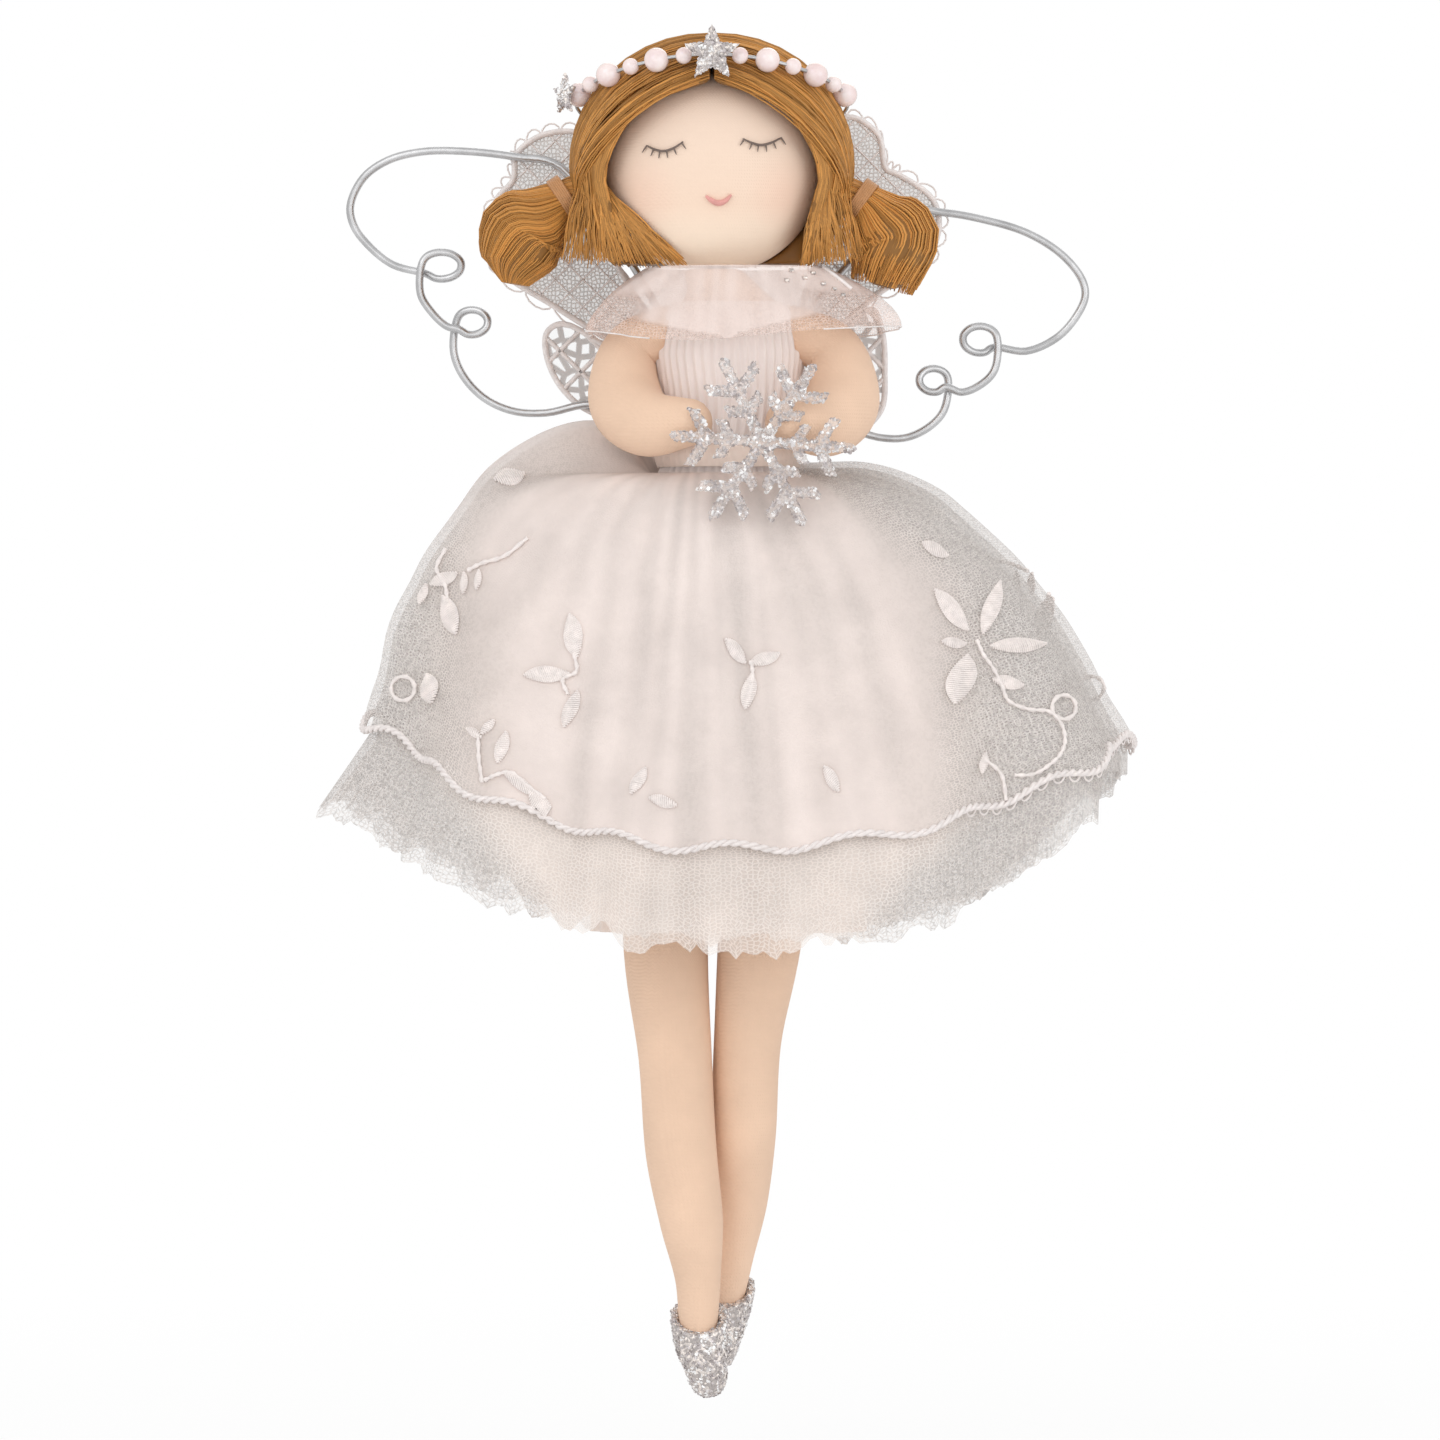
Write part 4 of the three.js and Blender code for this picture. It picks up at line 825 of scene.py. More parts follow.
def face_material(name):
    """Skin that is paler and greyer on the forehead, a painted shade against the light from above, lighter at
    the chin, a painted light against the shade beneath it, and pinker on the cheeks.
    """
    face = colours().face
    material, tree, shader, place = new_material(name, SKIN_SHADER)
    shade = dye_in(tree, place, rgba(face), rgba(face, 0.95), 70.0)["Colour"]
    height = node_in(tree, "ShaderNodeSeparateXYZ", {0: place}).outputs[2]
    # Painted shade: the forehead is greyed to tone down the light that falls on it from above
    painted_brow_shade = ramp_in(tree, height, -0.027, -0.008, 0.0, 0.7)
    shade = mix_in(tree, painted_brow_shade, shade, rgba(srgb("e5d0c0")))
    # Painted light: the chin is lightened against the shade that the collar and the light from above leave
    # under it
    chin = ramp_in(tree, height, -0.035, -0.026, 0.9, 0.0)
    shade = mix_in(tree, chin, shade, rgba(srgb("fff0dc")))
    cheeks = []
    for centre in CHEEKS:
        values = {0: place, 1: [c * MM for c in centre]}
        gap = node_in(tree, "ShaderNodeVectorMath", values, operation="DISTANCE").outputs["Value"]
        cheeks.append(ramp_in(tree, gap, 0.001, 0.0062, 0.22, 0.0))
    shade = mix_in(tree, math_in(tree, "MAXIMUM", *cheeks), shade, rgba(srgb("f2b9a4")))
    shade_in(tree, shader, {"Base Color": shade}, knit_in(tree, place, 0.5), 0.2, 0.04)
    return material


def thread_material(name, colour, roughness=0.55):
    """Twisted thread, unevenly dyed."""
    constants = {"Roughness": roughness, "Sheen Weight": 0.2, "Sheen Roughness": 0.4}
    return dyed_material(name, colour, rgba(colour, 0.8), 900.0, (0.5, 0.08), constants)


def hair_material(name):
    """Strands that are light or dark by their tone, with an uneven dye over them."""
    hair = colours().hair
    material, tree, shader, place = new_material(name, {"Roughness": 0.5, "Specular IOR Level": 0.3})
    tone = node_in(tree, "ShaderNodeAttribute", attribute_name="tone").outputs["Fac"]
    strand = mix_in(tree, tone, rgba(hair, 0.42), rgba(hair, 1.5))
    dye = dye_in(tree, place, strand, rgba(hair, 0.8), 160.0)
    colour = mix_in(tree, 0.65, dye["Colour"], strand)
    shade_in(tree, shader, {"Base Color": colour}, dye["Height"], 0.2, 0.1)
    return material


def pearl_material(name):
    constants = {
        "Roughness": 0.2, "Coat Weight": 0.7, "Coat Roughness": 0.08, "Specular IOR Level": 0.6,
        "Thin Film Thickness": 320.0, "Thin Film IOR": 1.45,
    }
    return dyed_material(name, colours().pearl, rgba(srgb("ead2ce")), 420.0, (0.08, 0.1), constants)


def glitter_material(name, dark, spark, cell):
    material, tree, shader, place = new_material(name, {"Metallic": 0.55, "Specular IOR Level": 0.7})
    values = {"Vector": place, "Cell": cell * MM, "Colour": rgba(dark), "Spark": rgba(spark)}
    grains = group_in(tree, glitter_group, "glitter", values)
    sockets = {"Base Color": grains["Colour"], "Roughness": grains["Roughness"]}
    shade_in(tree, shader, sockets, grains["Height"], 0.6, 0.15)
    return material


def clear_glitter_material(name):
    """Glitter set in clear resin."""
    material = glitter_material(name, srgb("ded4cf"), srgb("faf3f0"), 0.5)
    shader = material.node_tree.nodes["Principled BSDF"]
    shader.inputs["Metallic"].default_value = 0.2
    shader.inputs["Alpha"].default_value = 0.32
    return material


def net_material(name, colour, cell, thread, solid, veil, gathered=0.0, side_colour=None):
    """Net cloth: threads that cover, and meshes that a faint veil of fibre fills.

    Gathers cover up to a share, and where there are none the net takes its side colour, with darker grains:
    on the skirt's lace and tulle a grey painted shade, on the collar a pinker tint.
    """
    material, tree, shader, place = new_material(name, {"Roughness": 0.85, "Specular IOR Level": 0.15})
    flat = node_in(tree, "ShaderNodeUVMap", uv_map="cloth").outputs[0]
    mask = group_in(tree, net_group, "net", {"Vector": flat, "Cell": cell, "Thread": thread})["Mask"]
    shade = dye_in(tree, place, rgba(colour), rgba(colour, 0.86), 120.0)["Colour"]
    cover = ramp_in(tree, mask, 0.0, 1.0, veil, solid)
    if gathered:
        # The density of the gathers is also the mask of a painted shade: where it is low the colour turns to
        # the side colour
        gather = node_in(tree, "ShaderNodeAttribute", attribute_name="gather").outputs["Fac"]
        values = {"Vector": place, "Scale": 1700.0, "Detail": 1.0}
        grain = ramp_in(tree, node_in(tree, "ShaderNodeTexNoise", values).outputs["Fac"], 0.45, 0.65)
        shade = mix_in(tree, gather, mix_in(tree, grain, rgba(side_colour, 1.05), rgba(side_colour, 0.75)), shade)
        cover = math_in(tree, "MAXIMUM", cover, math_in(tree, "MULTIPLY", gather, gathered))
    shade_in(tree, shader, {"Base Color": shade, "Alpha": cover}, mask, 0.3, 0.08)
    return material


def satin_material(name, colour, alpha=1.0):
    constants = {"Roughness": 0.42, "Sheen Weight": 0.25, "Sheen Roughness": 0.3, "Alpha": alpha}
    return dyed_material(name, colour, rgba(colour, 0.9), 60.0, (0.12, 0.03), constants, 0.35)


def wire_material(name):
    wire = colours().wire
    constants = {"Metallic": 0.9, "Roughness": 0.32, "Specular IOR Level": 0.6}
    return dyed_material(name, wire, rgba(wire, 0.7), 260.0, (0.15, 0.1), constants)


def felt_material(name):
    felt = colours().felt
    constants = {"Roughness": 0.95, "Sheen Weight": 0.5}
    return dyed_material(name, felt, rgba(felt, 0.86), 700.0, (0.7, 0.25), constants)


# The last colour code is the grey painted shade that the tulle takes at its sides
def tulle_material(name, colour, solid, veil, gathered, side_colour):
    return net_material(name, colour, sizes().tulle_cell, 0.12, solid, veil, gathered, srgb(side_colour))


def lace_material(name):
    values = colours()
    # The last colour is the grey painted shade of the lace's sides
    return net_material(name, values.lace, sizes().lace_cell, 0.12, 0.62, 0.16, 0.8, values.net_side_shade)


def collar_material(name):
    return net_material(name, srgb("f4e3dc"), 0.45 * MM, 0.12, 0.45, 0.2, 0.75, srgb("f0d9cf"))


def floor_material(name):
    """A pale floor that the camera sees as near white."""
    material = bpy.data.materials.new(name)
    material.use_nodes = True
    tree = material.node_tree
    tree.nodes.clear()
    matt = node_in(tree, "ShaderNodeBsdfDiffuse", {"Color": (0.9, 0.9, 0.9, 1.0)})
    glow = node_in(tree, "ShaderNodeEmission", {"Color": (1.0, 1.0, 1.0, 1.0), "Strength": 1.0})
    seen = tree.nodes.new("ShaderNodeLightPath").outputs["Is Camera Ray"]
    place = tree.nodes.new("ShaderNodeTexCoord").outputs["Object"]
    away = node_in(tree, "ShaderNodeVectorMath", {0: place}, operation="LENGTH").outputs["Value"]
    white = ramp_in(tree, away, 0.22, 0.5, 0.85)
    both = node_in(tree, "ShaderNodeMixShader", {0: math_in(tree, "MULTIPLY", seen, white)})
    tree.links.new(matt.outputs[0], both.inputs[1])
    tree.links.new(glow.outputs[0], both.inputs[2])
    node_in(tree, "ShaderNodeOutputMaterial", {"Surface": both.outputs[0]})
    return material


MATERIALS = {
    "knit_skin": skin_material,
    "knit_face": face_material,
    "lash_thread": lambda name: thread_material(name, colours().lash, 0.7),
    "lip_thread": lambda name: thread_material(name, colours().lip, 0.6),
    "hair_fibre": hair_material,
    "hair_tie": lambda name: thread_material(name, srgb("c58f5e"), 0.5),
    "pearl": pearl_material,
    "silver_glitter": lambda name: glitter_material(name, colours().glitter, srgb("fff6ef"), 0.42),
    "glitter_flakes": lambda name: glitter_material(name, srgb("c3bcbc"), srgb("ffffff"), 1.1),
    "clear_glitter": clear_glitter_material,
    "silver_wire": wire_material,
    "bodice_satin": lambda name: satin_material(name, srgb("f8ece7")),
    "satin": lambda name: satin_material(name, colours().satin),
    "slip_satin": lambda name: satin_material(name, colours().satin, 0.96),
    # The last codes of the two tulles are the grey painted shade at their sides
    "tulle_net": lambda name: tulle_material(name, colours().tulle, 0.72, 0.24, 0.5, "d9d3cf"),
    "inner_tulle": lambda name: tulle_material(name, colours().lining, 0.7, 0.2, 0.85, "dcd6d2"),
    "collar_tulle": collar_material,
    "lace_net": lace_material,
    "wing_net": lambda name: net_material(name, srgb("d2cecb"), 0.6 * MM, 0.14, 0.9, 0.5),
    "open_lace": lambda name: net_material(name, srgb("cfcbc9"), 2.3 * MM, 0.15, 0.95, 0.12),
    "white_thread": lambda name: thread_material(name, srgb("f3ebe8"), 0.45),
    "embroidery_thread": lambda name: thread_material(name, srgb("f8efeb")),
    "felt": felt_material,
    "floor": floor_material,
}


def stuff(name):
    """The angel's own material of this name, made at the first call."""
    own = f"angel_{name}"
    return bpy.data.materials.get(own) or MATERIALS[name](own)


# Head


def on_face(x, z, lift):
    """The point of the face before X and Z of the frame, lifted off the knit."""
    at = np.array((x, 0.0, z)) - HEAD_CENTRE
    at[1] = -HEAD_AXES[1] * math.sqrt(1 - (at[0] / HEAD_AXES[0]) ** 2 - (at[2] / HEAD_AXES[2]) ** 2)
    return HEAD_CENTRE + at + lift * unit(at / HEAD_AXES**2)


def make_head():
    count, around = 56, 96
    rows = []
    for r in range(1, count):
        tilt = math.pi * r / count
        height = max(HEAD_AXES[2] * math.cos(tilt), NECK_SEAT)
        half = HEAD_AXES * math.sin(tilt)
        ring = [(half[0] * math.cos(a), half[1] * math.sin(a), height) for a in turns(around)]
        rows.append(np.array(ring) + HEAD_CENTRE)
    crown = np.tile(HEAD_CENTRE + (0, 0, HEAD_AXES[2]), (around, 1))
    rows.insert(0, crown + 0.02 * (rows[0] - rows[0].mean(axis=0)))
    head = settle(loft_piece("head_knit", rows, "knit_face"), "knit_skin", "head")


def face_stitch(pixels, lift, steps, radius, ends, swell):
    """A stitch over the face with its radii, which swell between its ends."""
    points = smooth_path([on_face(*from_photo(*p), lift) for p in pixels], steps)
    last = len(points) - 1
    return points, [radius * (ends + swell * math.sin(math.pi * i / last)) for i in range(last + 1)]


def make_lashes(word):
    """A stitched lid with short lashes that fan out below it."""
    lid, spread = face_stitch(LIDS[word], 0.3, 6, LASH_RADIUS, 0.65, 0.5)
    paths = [lid]
    radii = [spread]
    for k in range(6):
        share = (k + 0.35) / 5.7
        root = lid[round(share * (len(lid) - 1))]
        lean = 1.6 * (share - 0.5)
        reach = 1.15 - 0.4 * abs(share - 0.5)
        runs = [s * reach for s in (0.0, 0.35, 0.7, 1.0)]
        paths.append([on_face(root[0] + lean * run, root[2] - run, 0.32) for run in runs])
        radii.append([LASH_RADIUS * taper for taper in (0.75, 0.7, 0.55, 0.3)])
    settle(threads(f"{word}_lashes", paths, radii, "lash_thread", sides=6), "lash_thread", f"{word}_eyelash")


def make_mouth():
    points, spread = face_stitch(MOUTH, 0.25, 7, LIP_RADIUS, 0.5, 0.8)
    settle(threads("mouth_smile", [points], [spread], "lip_thread", sides=8), "lip_thread", "mouth_stitch")


# Hair


def on_hair(direction, lift):
    """The point of the combed hair in a direction from the head's centre, lifted off it."""
    direction = unit(direction)
    return HEAD_CENTRE + HAIR_AXES * direction + lift * unit(direction / HAIR_AXES)


def combed_strands(side, pick, count):
    """Strands from the parting down to the tie, the front ones first."""
    paths = []
    for i in range(count):
        share = (i + pick.random()) / count
        share += 0.006 * math.sin(90 * share)
        rise = math.radians(lerp(*COMB_RISE, share))
        start = np.array((side * 0.02, -math.cos(rise), math.sin(rise)))
        back = lerp(-0.17, 0.17, share) + pick.gauss(0, 0.03)
        end = unit(np.array((side * 0.97, back, -0.2 + pick.gauss(0, 0.05))))
        bend = math.acos(max(-1.0, min(1.0, float(start @ end))))
        lift = pick.uniform(-0.25, 0.3)
        path = []
        for t in shares(13):
            mixed = (math.sin((1 - t) * bend) * start + math.sin(t * bend) * end) / math.sin(bend)
            mixed[2] -= 0.1 * math.sin(math.pi * t) * (1 - share)
            mixed[1] += 0.012 * math.sin(7 * t + 40 * share) * math.sin(math.pi * t)
            path.append(on_hair(mixed, lift + 0.35 * math.sin(math.pi * t)))
        paths.append(path)
    return paths


def hanging_strands(side, pick, count):
    """Strands below the tie that hang at the sides and the nape, with a slight wave."""
    paths = []
    for i in range(count):
        turn = math.radians(lerp(*HANG_TURN, (i + pick.random()) / count))
        low = -HAIR_DROP / HAIR_AXES[2] - pick.uniform(-0.03, 0.01)
        wave = pick.uniform(0, 6)
        path = []
        for t in shares(9):
            height = lerp(0.12, low, t)
            flat = math.sqrt(1 - height * height)
            swing = turn + 0.03 * math.sin(wave + 6.4 * t)
            ray = np.array((side * flat * math.sin(swing), -flat * math.cos(swing), height))
            path.append(on_hair(ray, 0.05))
        paths.append(path)
    return paths


def framing_strands(side, pick, count, cap):
    """Strands along the edge of the hair round the face, from the parting to the jaw."""
    laid = Projector(cap)
    centre = np.array(FACE_MIDDLE)

    def before_face(spot):
        at = laid.put(spot, 0.08)
        return None if at is None or at[1] > -3 else at

    edges = []
    for t in shares(17):
        turn = math.radians(lerp(*FRAME_TURN, t))
        ray = np.array((side * math.cos(turn), -math.sin(turn)))
        reach = next((r for r in np.arange(60.0, 130.0) if before_face(centre + r * ray) is not None), None)
        if reach is not None:
            edges.append((ray, reach))
    paths = []
    for i in range(count):
        inner = 1 + 17 * (i + pick.random()) / count
        wave = pick.uniform(0, 6)
        path = []
        for k, (ray, reach) in enumerate(edges):
            path.append(before_face(centre + (reach + inner + 0.8 * math.sin(wave + 0.7 * k)) * ray))
        paths.append([p for p in path if p is not None])
    return [p for p in paths if len(p) > 4]


def jaw_strands(side, pick, count, inner):
    """Wavy strands that hang from a tie to the collar and spread over the jaw, up to the middle or less."""
    paths = []
    for i in range(count):
        share = (i + pick.random()) / count
        root_height = lerp(*JAW_ROOT_HEIGHTS, share) + pick.gauss(0, 0.4)
        root = np.array((side * lerp(*JAW_ROOTS, math.sqrt(share)), 0.0, root_height))
        tip_height = lerp(*JAW_TIP_HEIGHTS, share) + pick.gauss(0, 0.45)
        tip = np.array((side * lerp(JAW_TIP, inner, share), 0.0, tip_height))
        front = lerp(-3.6, -7.4, min(1.0, 3 * share))
        wave = pick.uniform(0, 6)
        path = []
        for t in shares(12):
            x, _, z = lerp(root, tip, t)
            x += 0.35 * math.sin(wave + 7 * t) * math.sin(math.pi * t)
            gap = (np.array((x, 0.0, z)) - HEAD_CENTRE) / HEAD_AXES
            before = -HEAD_AXES[1] * math.sqrt(max(0.0, 1 - gap @ gap))
            path.append(np.array((x, min(before, front) - 0.5 - 0.8 * math.sin(math.pi * t), z)))
        paths.append(path)
    return paths


def strand_tones(pick, middle, spread, count):
    return [min(max(pick.gauss(middle, spread), 0.0), 1.0) for _ in range(count)]


def make_hair(word):
    side = SIDES[word]
    pick = random.Random(11 + side)
    cap = soft_copy(f"{word}_hair_cap", f"{word}_hair", "hair_fibre", voxel=0.6, passes=6)
    settle(cap, "hair_fibre", f"{word}_hair")
    paths = combed_strands(side, pick, sizes().strands)
    paths += hanging_strands(side, pick, HANGING_STRANDS)
    paths += framing_strands(side, pick, FRAMING_STRANDS, cap)
    paths += jaw_strands(side, pick, *JAW_STRANDS[word])
    radius = sizes().strand / MM
    radii = []
    for path in paths:
        last = len(path) - 1
        radii.append([radius * min(1.0, 0.55 + 0.6 * math.sin(math.pi * k / last)) for k in range(last + 1)])
    tones = strand_tones(pick, 0.5, 0.27, len(paths))
    settle(threads(f"{word}_hair_strands", paths, radii, "hair_fibre", sides=4, tones=tones), "hair_fibre")


def make_parting():
    """The seam that holds the two halves of the hair together, with stitches across it."""
    seam = []
    stitches = []
    for k in range(60):
        rise = math.radians(lerp(*SEAM_RISE, k / 59))
        seam.append(on_hair(np.array((0.0, -math.cos(rise), math.sin(rise))), -0.35))
        lean = 0.02 if k % 2 else -0.02
        stitch = []
        for x in (-0.07, 0, 0.07):
            turn = rise + lean * x / 0.07
            stitch.append(on_hair(unit(np.array((x, -math.cos(turn), math.sin(turn)))), 0.12))
        stitches.append(stitch)
    radii = [0.55] + [0.13] * len(stitches)
    settle(threads("hair_parting", [seam, *stitches], radii, "hair_fibre", sides=6), "hair_fibre")


def square_to(along):
    """Two directions square to a direction and to each other."""
    across = unit(np.cross(along, (0.0, 1.0, 0.0)))
    return across, np.cross(along, across)


def make_bunch(word):
    """A tied bunch: a bun on the left, a loose tuft on the right."""
    side = SIDES[word]
    loose = word == "right"
    pick = random.Random(31 + side)
    core = soft_copy(f"{word}_bunch_core", f"{word}_bunch", "hair_fibre", voxel=0.5, passes=5)
    settle(core, "hair_fibre", f"{word}_bunch")
    tie, swell, end = (HEAD_CENTRE + (side * (HAIR_AXES[0] + out), 0.0, up) for out, up in BUNCHES[word])
    root = tie + (-side * 4.0, 0.0, 1.0)
    route = smooth_path([root, tie, lerp(swell, tie, 0.4), swell, lerp(swell, end, 0.55), end], 4)
    wide = np.interp(np.linspace(0, 5, len(route)), range(6), BUNCH_RADII)
    twist = 0.5 if loose else 2.6
    paths = []
    for i in range(BUNCH_STRANDS):
        turn = 2 * math.pi * (i + pick.random()) / BUNCH_STRANDS
        last = len(route) - (pick.randint(0, 3) if loose else 0)
        depth = pick.uniform(0.9, 1.04)
        path = []
        for k in range(2, last):
            across, depthwise = square_to(unit(route[min(k + 1, len(route) - 1)] - route[max(k - 1, 0)]))
            angle = turn + twist * k / len(route)
            reach = wide[k] * depth
            if loose:
                reach = lerp(reach, BUNCH_RADII[4] * depth, 0.8 * smoothstep(k, 10, 17))
            path.append(route[k] + reach * (math.cos(angle) * across + math.sin(angle) * depthwise))
        paths.append(path)
    radius = sizes().strand / MM
    radii = [[radius * (1.0 - 0.45 * (k / (len(p) - 1)) ** 3) for k in range(len(p))] for p in paths]
    tones = strand_tones(pick, 0.8 if loose else 0.64, 0.25, len(paths))
    settle(threads(f"{word}_bunch_strands", paths, radii, "hair_fibre", sides=4, tones=tones), "hair_fibre")
    make_tie(word, tie, unit(swell - root))


def make_tie(word, tie, along):
    """A thread wound round the neck of a bunch."""
    across, depthwise = square_to(along)
    steps = 20
    coil = []
    for k in range(TIE_TURNS * steps + 1):
        angle = 2 * math.pi * k / steps
        reach = TIE_REACH + 0.12 * math.sin(3 * angle)
        shift = along * lerp(-0.7, 1.2, k / (TIE_TURNS * steps))
        coil.append(tie + shift + reach * (math.cos(angle) * across + math.sin(angle) * depthwise))
    settle(threads(f"{word}_tie", [coil], TIE_RADIUS, "hair_tie", sides=6), "hair_tie", f"{word}_hair_tie")


# Headband


def band_point(degrees, offset=BAND_OFFSET):
    """A point of the headband, in degrees from its front towards +X."""
    angle = math.radians(degrees)
    up = lerp(BAND_SIDE, BAND_FRONT, math.cos(angle))
    share = math.sqrt(1 - (up / HAIR_AXES[2]) ** 2)
    at = np.array((HAIR_AXES[0] * share * math.sin(angle), -HAIR_AXES[1] * share * math.cos(angle), up))
    return HEAD_CENTRE + at + offset * unit(at / HAIR_AXES**2)


def bead_angles():
    pitch = (LARGE_BEAD + SMALL_BEAD) / 2 + 1.1
    angles = [0.0]
    for _ in range(BEAD_PAIRS):
        run = np.linalg.norm(band_point(angles[-1] + 12) - band_point(angles[-1] + 2)) / 10
        angles.append(angles[-1] + pitch / run)
    return [-a for a in reversed(angles[1:])] + angles


def make_headband():
    angles = bead_angles()
    last = angles[-1]
    string = []
    for k in range(96):
        degrees = k / 96 * 360 - 180
        close = smoothstep(abs(degrees), last + 8, last + 40)
        string.append(band_point(degrees, lerp(BAND_OFFSET, 0.6, close)))
    band = threads("band_string", [string], STRING_RADIUS, "silver_wire", sides=6, closed=True)
    settle(band, "silver_wire", "headband_string")
    points = [[band_point(a)] for a in angles]
    radii = [(LARGE_BEAD if (i - BEAD_PAIRS) % 2 == 0 else SMALL_BEAD) / 2 for i in range(len(angles))]
    beads = chain_object("band_beads", points, radii)
    grow(beads, shared(bead_tree, "bead"), {"Material": stuff("pearl")})
    settle(beads, "pearl", *[f"headband_bead_{i + 1}" for i in range(len(angles))])
    make_star("crown", CROWN_STAR, degrees=0.0, facing=0.0)
    make_star("side", SIDE_STAR, degrees=angles[0], facing=-60.0)


def make_star(word, radius, degrees, facing):
    """A raised five-pointed star with its glitter, before a bead of the band."""
    turn = math.radians(facing)
    out = np.array((math.sin(turn), -math.cos(turn), 0.0))
    across = np.array((math.cos(turn), math.sin(turn), 0.0))
    centre = band_point(degrees) + out * (LARGE_BEAD / 2 + 0.3)
    back = []
    front = []
    for i in range(10):
        angle = math.pi / 2 + i * math.pi / 5
        reach = radius if i % 2 == 0 else 0.45 * radius
        at = centre + reach * (math.cos(angle) * across + math.sin(angle) * UP)
        back.append(at)
        front.append(at + 0.45 * out)
    points = back + front + [centre, centre + 1.5 * out]
    faces = []
    for i in range(10):
        after = (i + 1) % 10
        faces += [(i, after, 10 + after, 10 + i), (20, after, i), (21, 10 + i, 10 + after)]
    star = mesh_piece(f"{word}_star_body", points, faces, "silver_glitter")
    star.data.shade_flat()
    edit_mesh(star, lambda shape: bmesh.ops.recalc_face_normals(shape, faces=shape.faces))
    settle(star, "silver_glitter", f"{word}_star")
    settle(flakes(f"{word}_star_flakes", star, 2 * sizes().flakes, seed=5), "silver_glitter")


# Body


def limb(name, stations, radii):
    """A stuffed limb through its stations, rounded at both ends."""
    path = smooth_path(stations, 8)
    thick = np.array(smooth_path([np.array((i, r, 0.0)) for i, r in enumerate(radii)], 8))[:, 1]
    first = unit(path[0] - path[1])
    last = unit(path[-1] - path[-2])
    rounds = [math.radians(a) for a in (88, 72, 54, 36, 18)]
    head = [path[0] + first * thick[0] * math.sin(a) for a in rounds]
    tail = [path[-1] + last * thick[-1] * math.sin(a) for a in reversed(rounds)]
    points = [*head, *path, *tail]
    radius = [thick[0] * math.cos(a) for a in rounds]
    radius += [*thick, *[thick[-1] * math.cos(a) for a in reversed(rounds)]]
    return threads(name, [points], [radius], "knit_skin", sides=36)


def make_body():
    torso = settle(soft_copy("torso_knit", "torso", "knit_skin", voxel=0.8, passes=8), "knit_skin", "torso")
    for word, side in SIDES.items():
        stations = [CHIN + (side * out, -forward, up) for out, forward, up in ARMS[word]]
        arm = settle(limb(f"{word}_arm_knit", stations, ARM_RADII), "knit_skin", f"{word}_arm")


def leg_stations(word):
    """Stations of a leg. The ankles pass each other in depth where the legs would meet."""
    side = SIDES[word]
    cross = 0.0
    stations = []
    for k, fall in enumerate(LEG_FALLS):
        apart = 14.0 - INWARD["left"][k] - INWARD["right"][k]
        reach = LEG_RADII["left"][k] + LEG_RADII["right"][k] + (3.0 if fall > 0.75 else 0.0) + 0.6
        cross = max(cross, 0.5 * math.sqrt(max(reach**2 - apart**2, 0.0)))
        x, z = HIPS[word]
        stations.append(CHIN + (x - side * INWARD[word][k], side * cross, z - LEG_LENGTH[word] * fall))
    return stations


def make_legs():
    for word, body in (("left", "front_leg"), ("right", "rear_leg")):
        leg = limb(f"{word}_leg_knit", leg_stations(word), LEG_RADII[word])
        settle(leg, "knit_skin", f"{word}_leg", body=body)
        shoe = soft_copy(f"{word}_shoe_shell", f"{word}_shoe", "silver_glitter", voxel=0.32, passes=4)
        settle(shoe, "silver_glitter", f"{word}_shoe", body=body)
        settle(flakes(f"{word}_shoe_flakes", shoe, sizes().flakes, seed=7), "silver_glitter", body=body)


def make_snowflake():
    flake = soft_copy("snowflake_body", "snowflake", "clear_glitter", voxel=0.22, passes=3)
    settle(flake, "silver_glitter", "snowflake")
    settle(flakes("snowflake_flakes", flake, 0.9 * sizes().flakes, seed=9), "silver_glitter")


# Dress


def torso_half(z):
    """Half width of the torso at a height from the chin."""
    return float(np.interp(z, TORSO_HEIGHTS, TORSO_HALVES))


def round_chin(half, angle, z):
    """A point of an oval round the chin's axis, at a height from the chin."""
    return CHIN + (half[0] * math.cos(angle), half[1] * math.sin(angle), z)


def ring_rows(count, around, put):
    """Rings of points down a sheet, each put by its share of the way down and its angle."""
    return [[put(r / count, angle) for angle in turns(around)] for r in range(count + 1)]


def make_bodice():
    """Gathered satin from the waist to the chest."""

    def put(share, angle):
        z = lerp(BODICE_TOP, BODICE_END, share)
        half = torso_half(z) + 0.8
        pleat = 0.28 * math.sin(46 * angle + 0.8 * math.sin(0.4 * z)) * smoothstep(share, 0.0, 0.2)
        return round_chin((half + pleat, half * TORSO_FLATNESS + pleat), angle, z)

    bodice = settle(ring_sheet("bodice_satin", ring_rows(30, 200, put), "bodice_satin"), "satin", "bodice")


def make_waistband():
    """A soft folded band round the waist."""

    def put(share, angle):
        puff = 2.1 + 0.5 * math.sin(math.pi * share) + 0.12 * math.sin(60 * angle)
        half = WAIST_HALF * np.array((1.0, TORSO_FLATNESS)) + puff
        return round_chin(half, angle, lerp(WAISTBAND_RISE, -WAISTBAND_RISE, share) - WAIST_DROP)

    band = settle(ring_sheet("waistband_satin", ring_rows(8, 160, put), "satin"), "satin", "waistband")


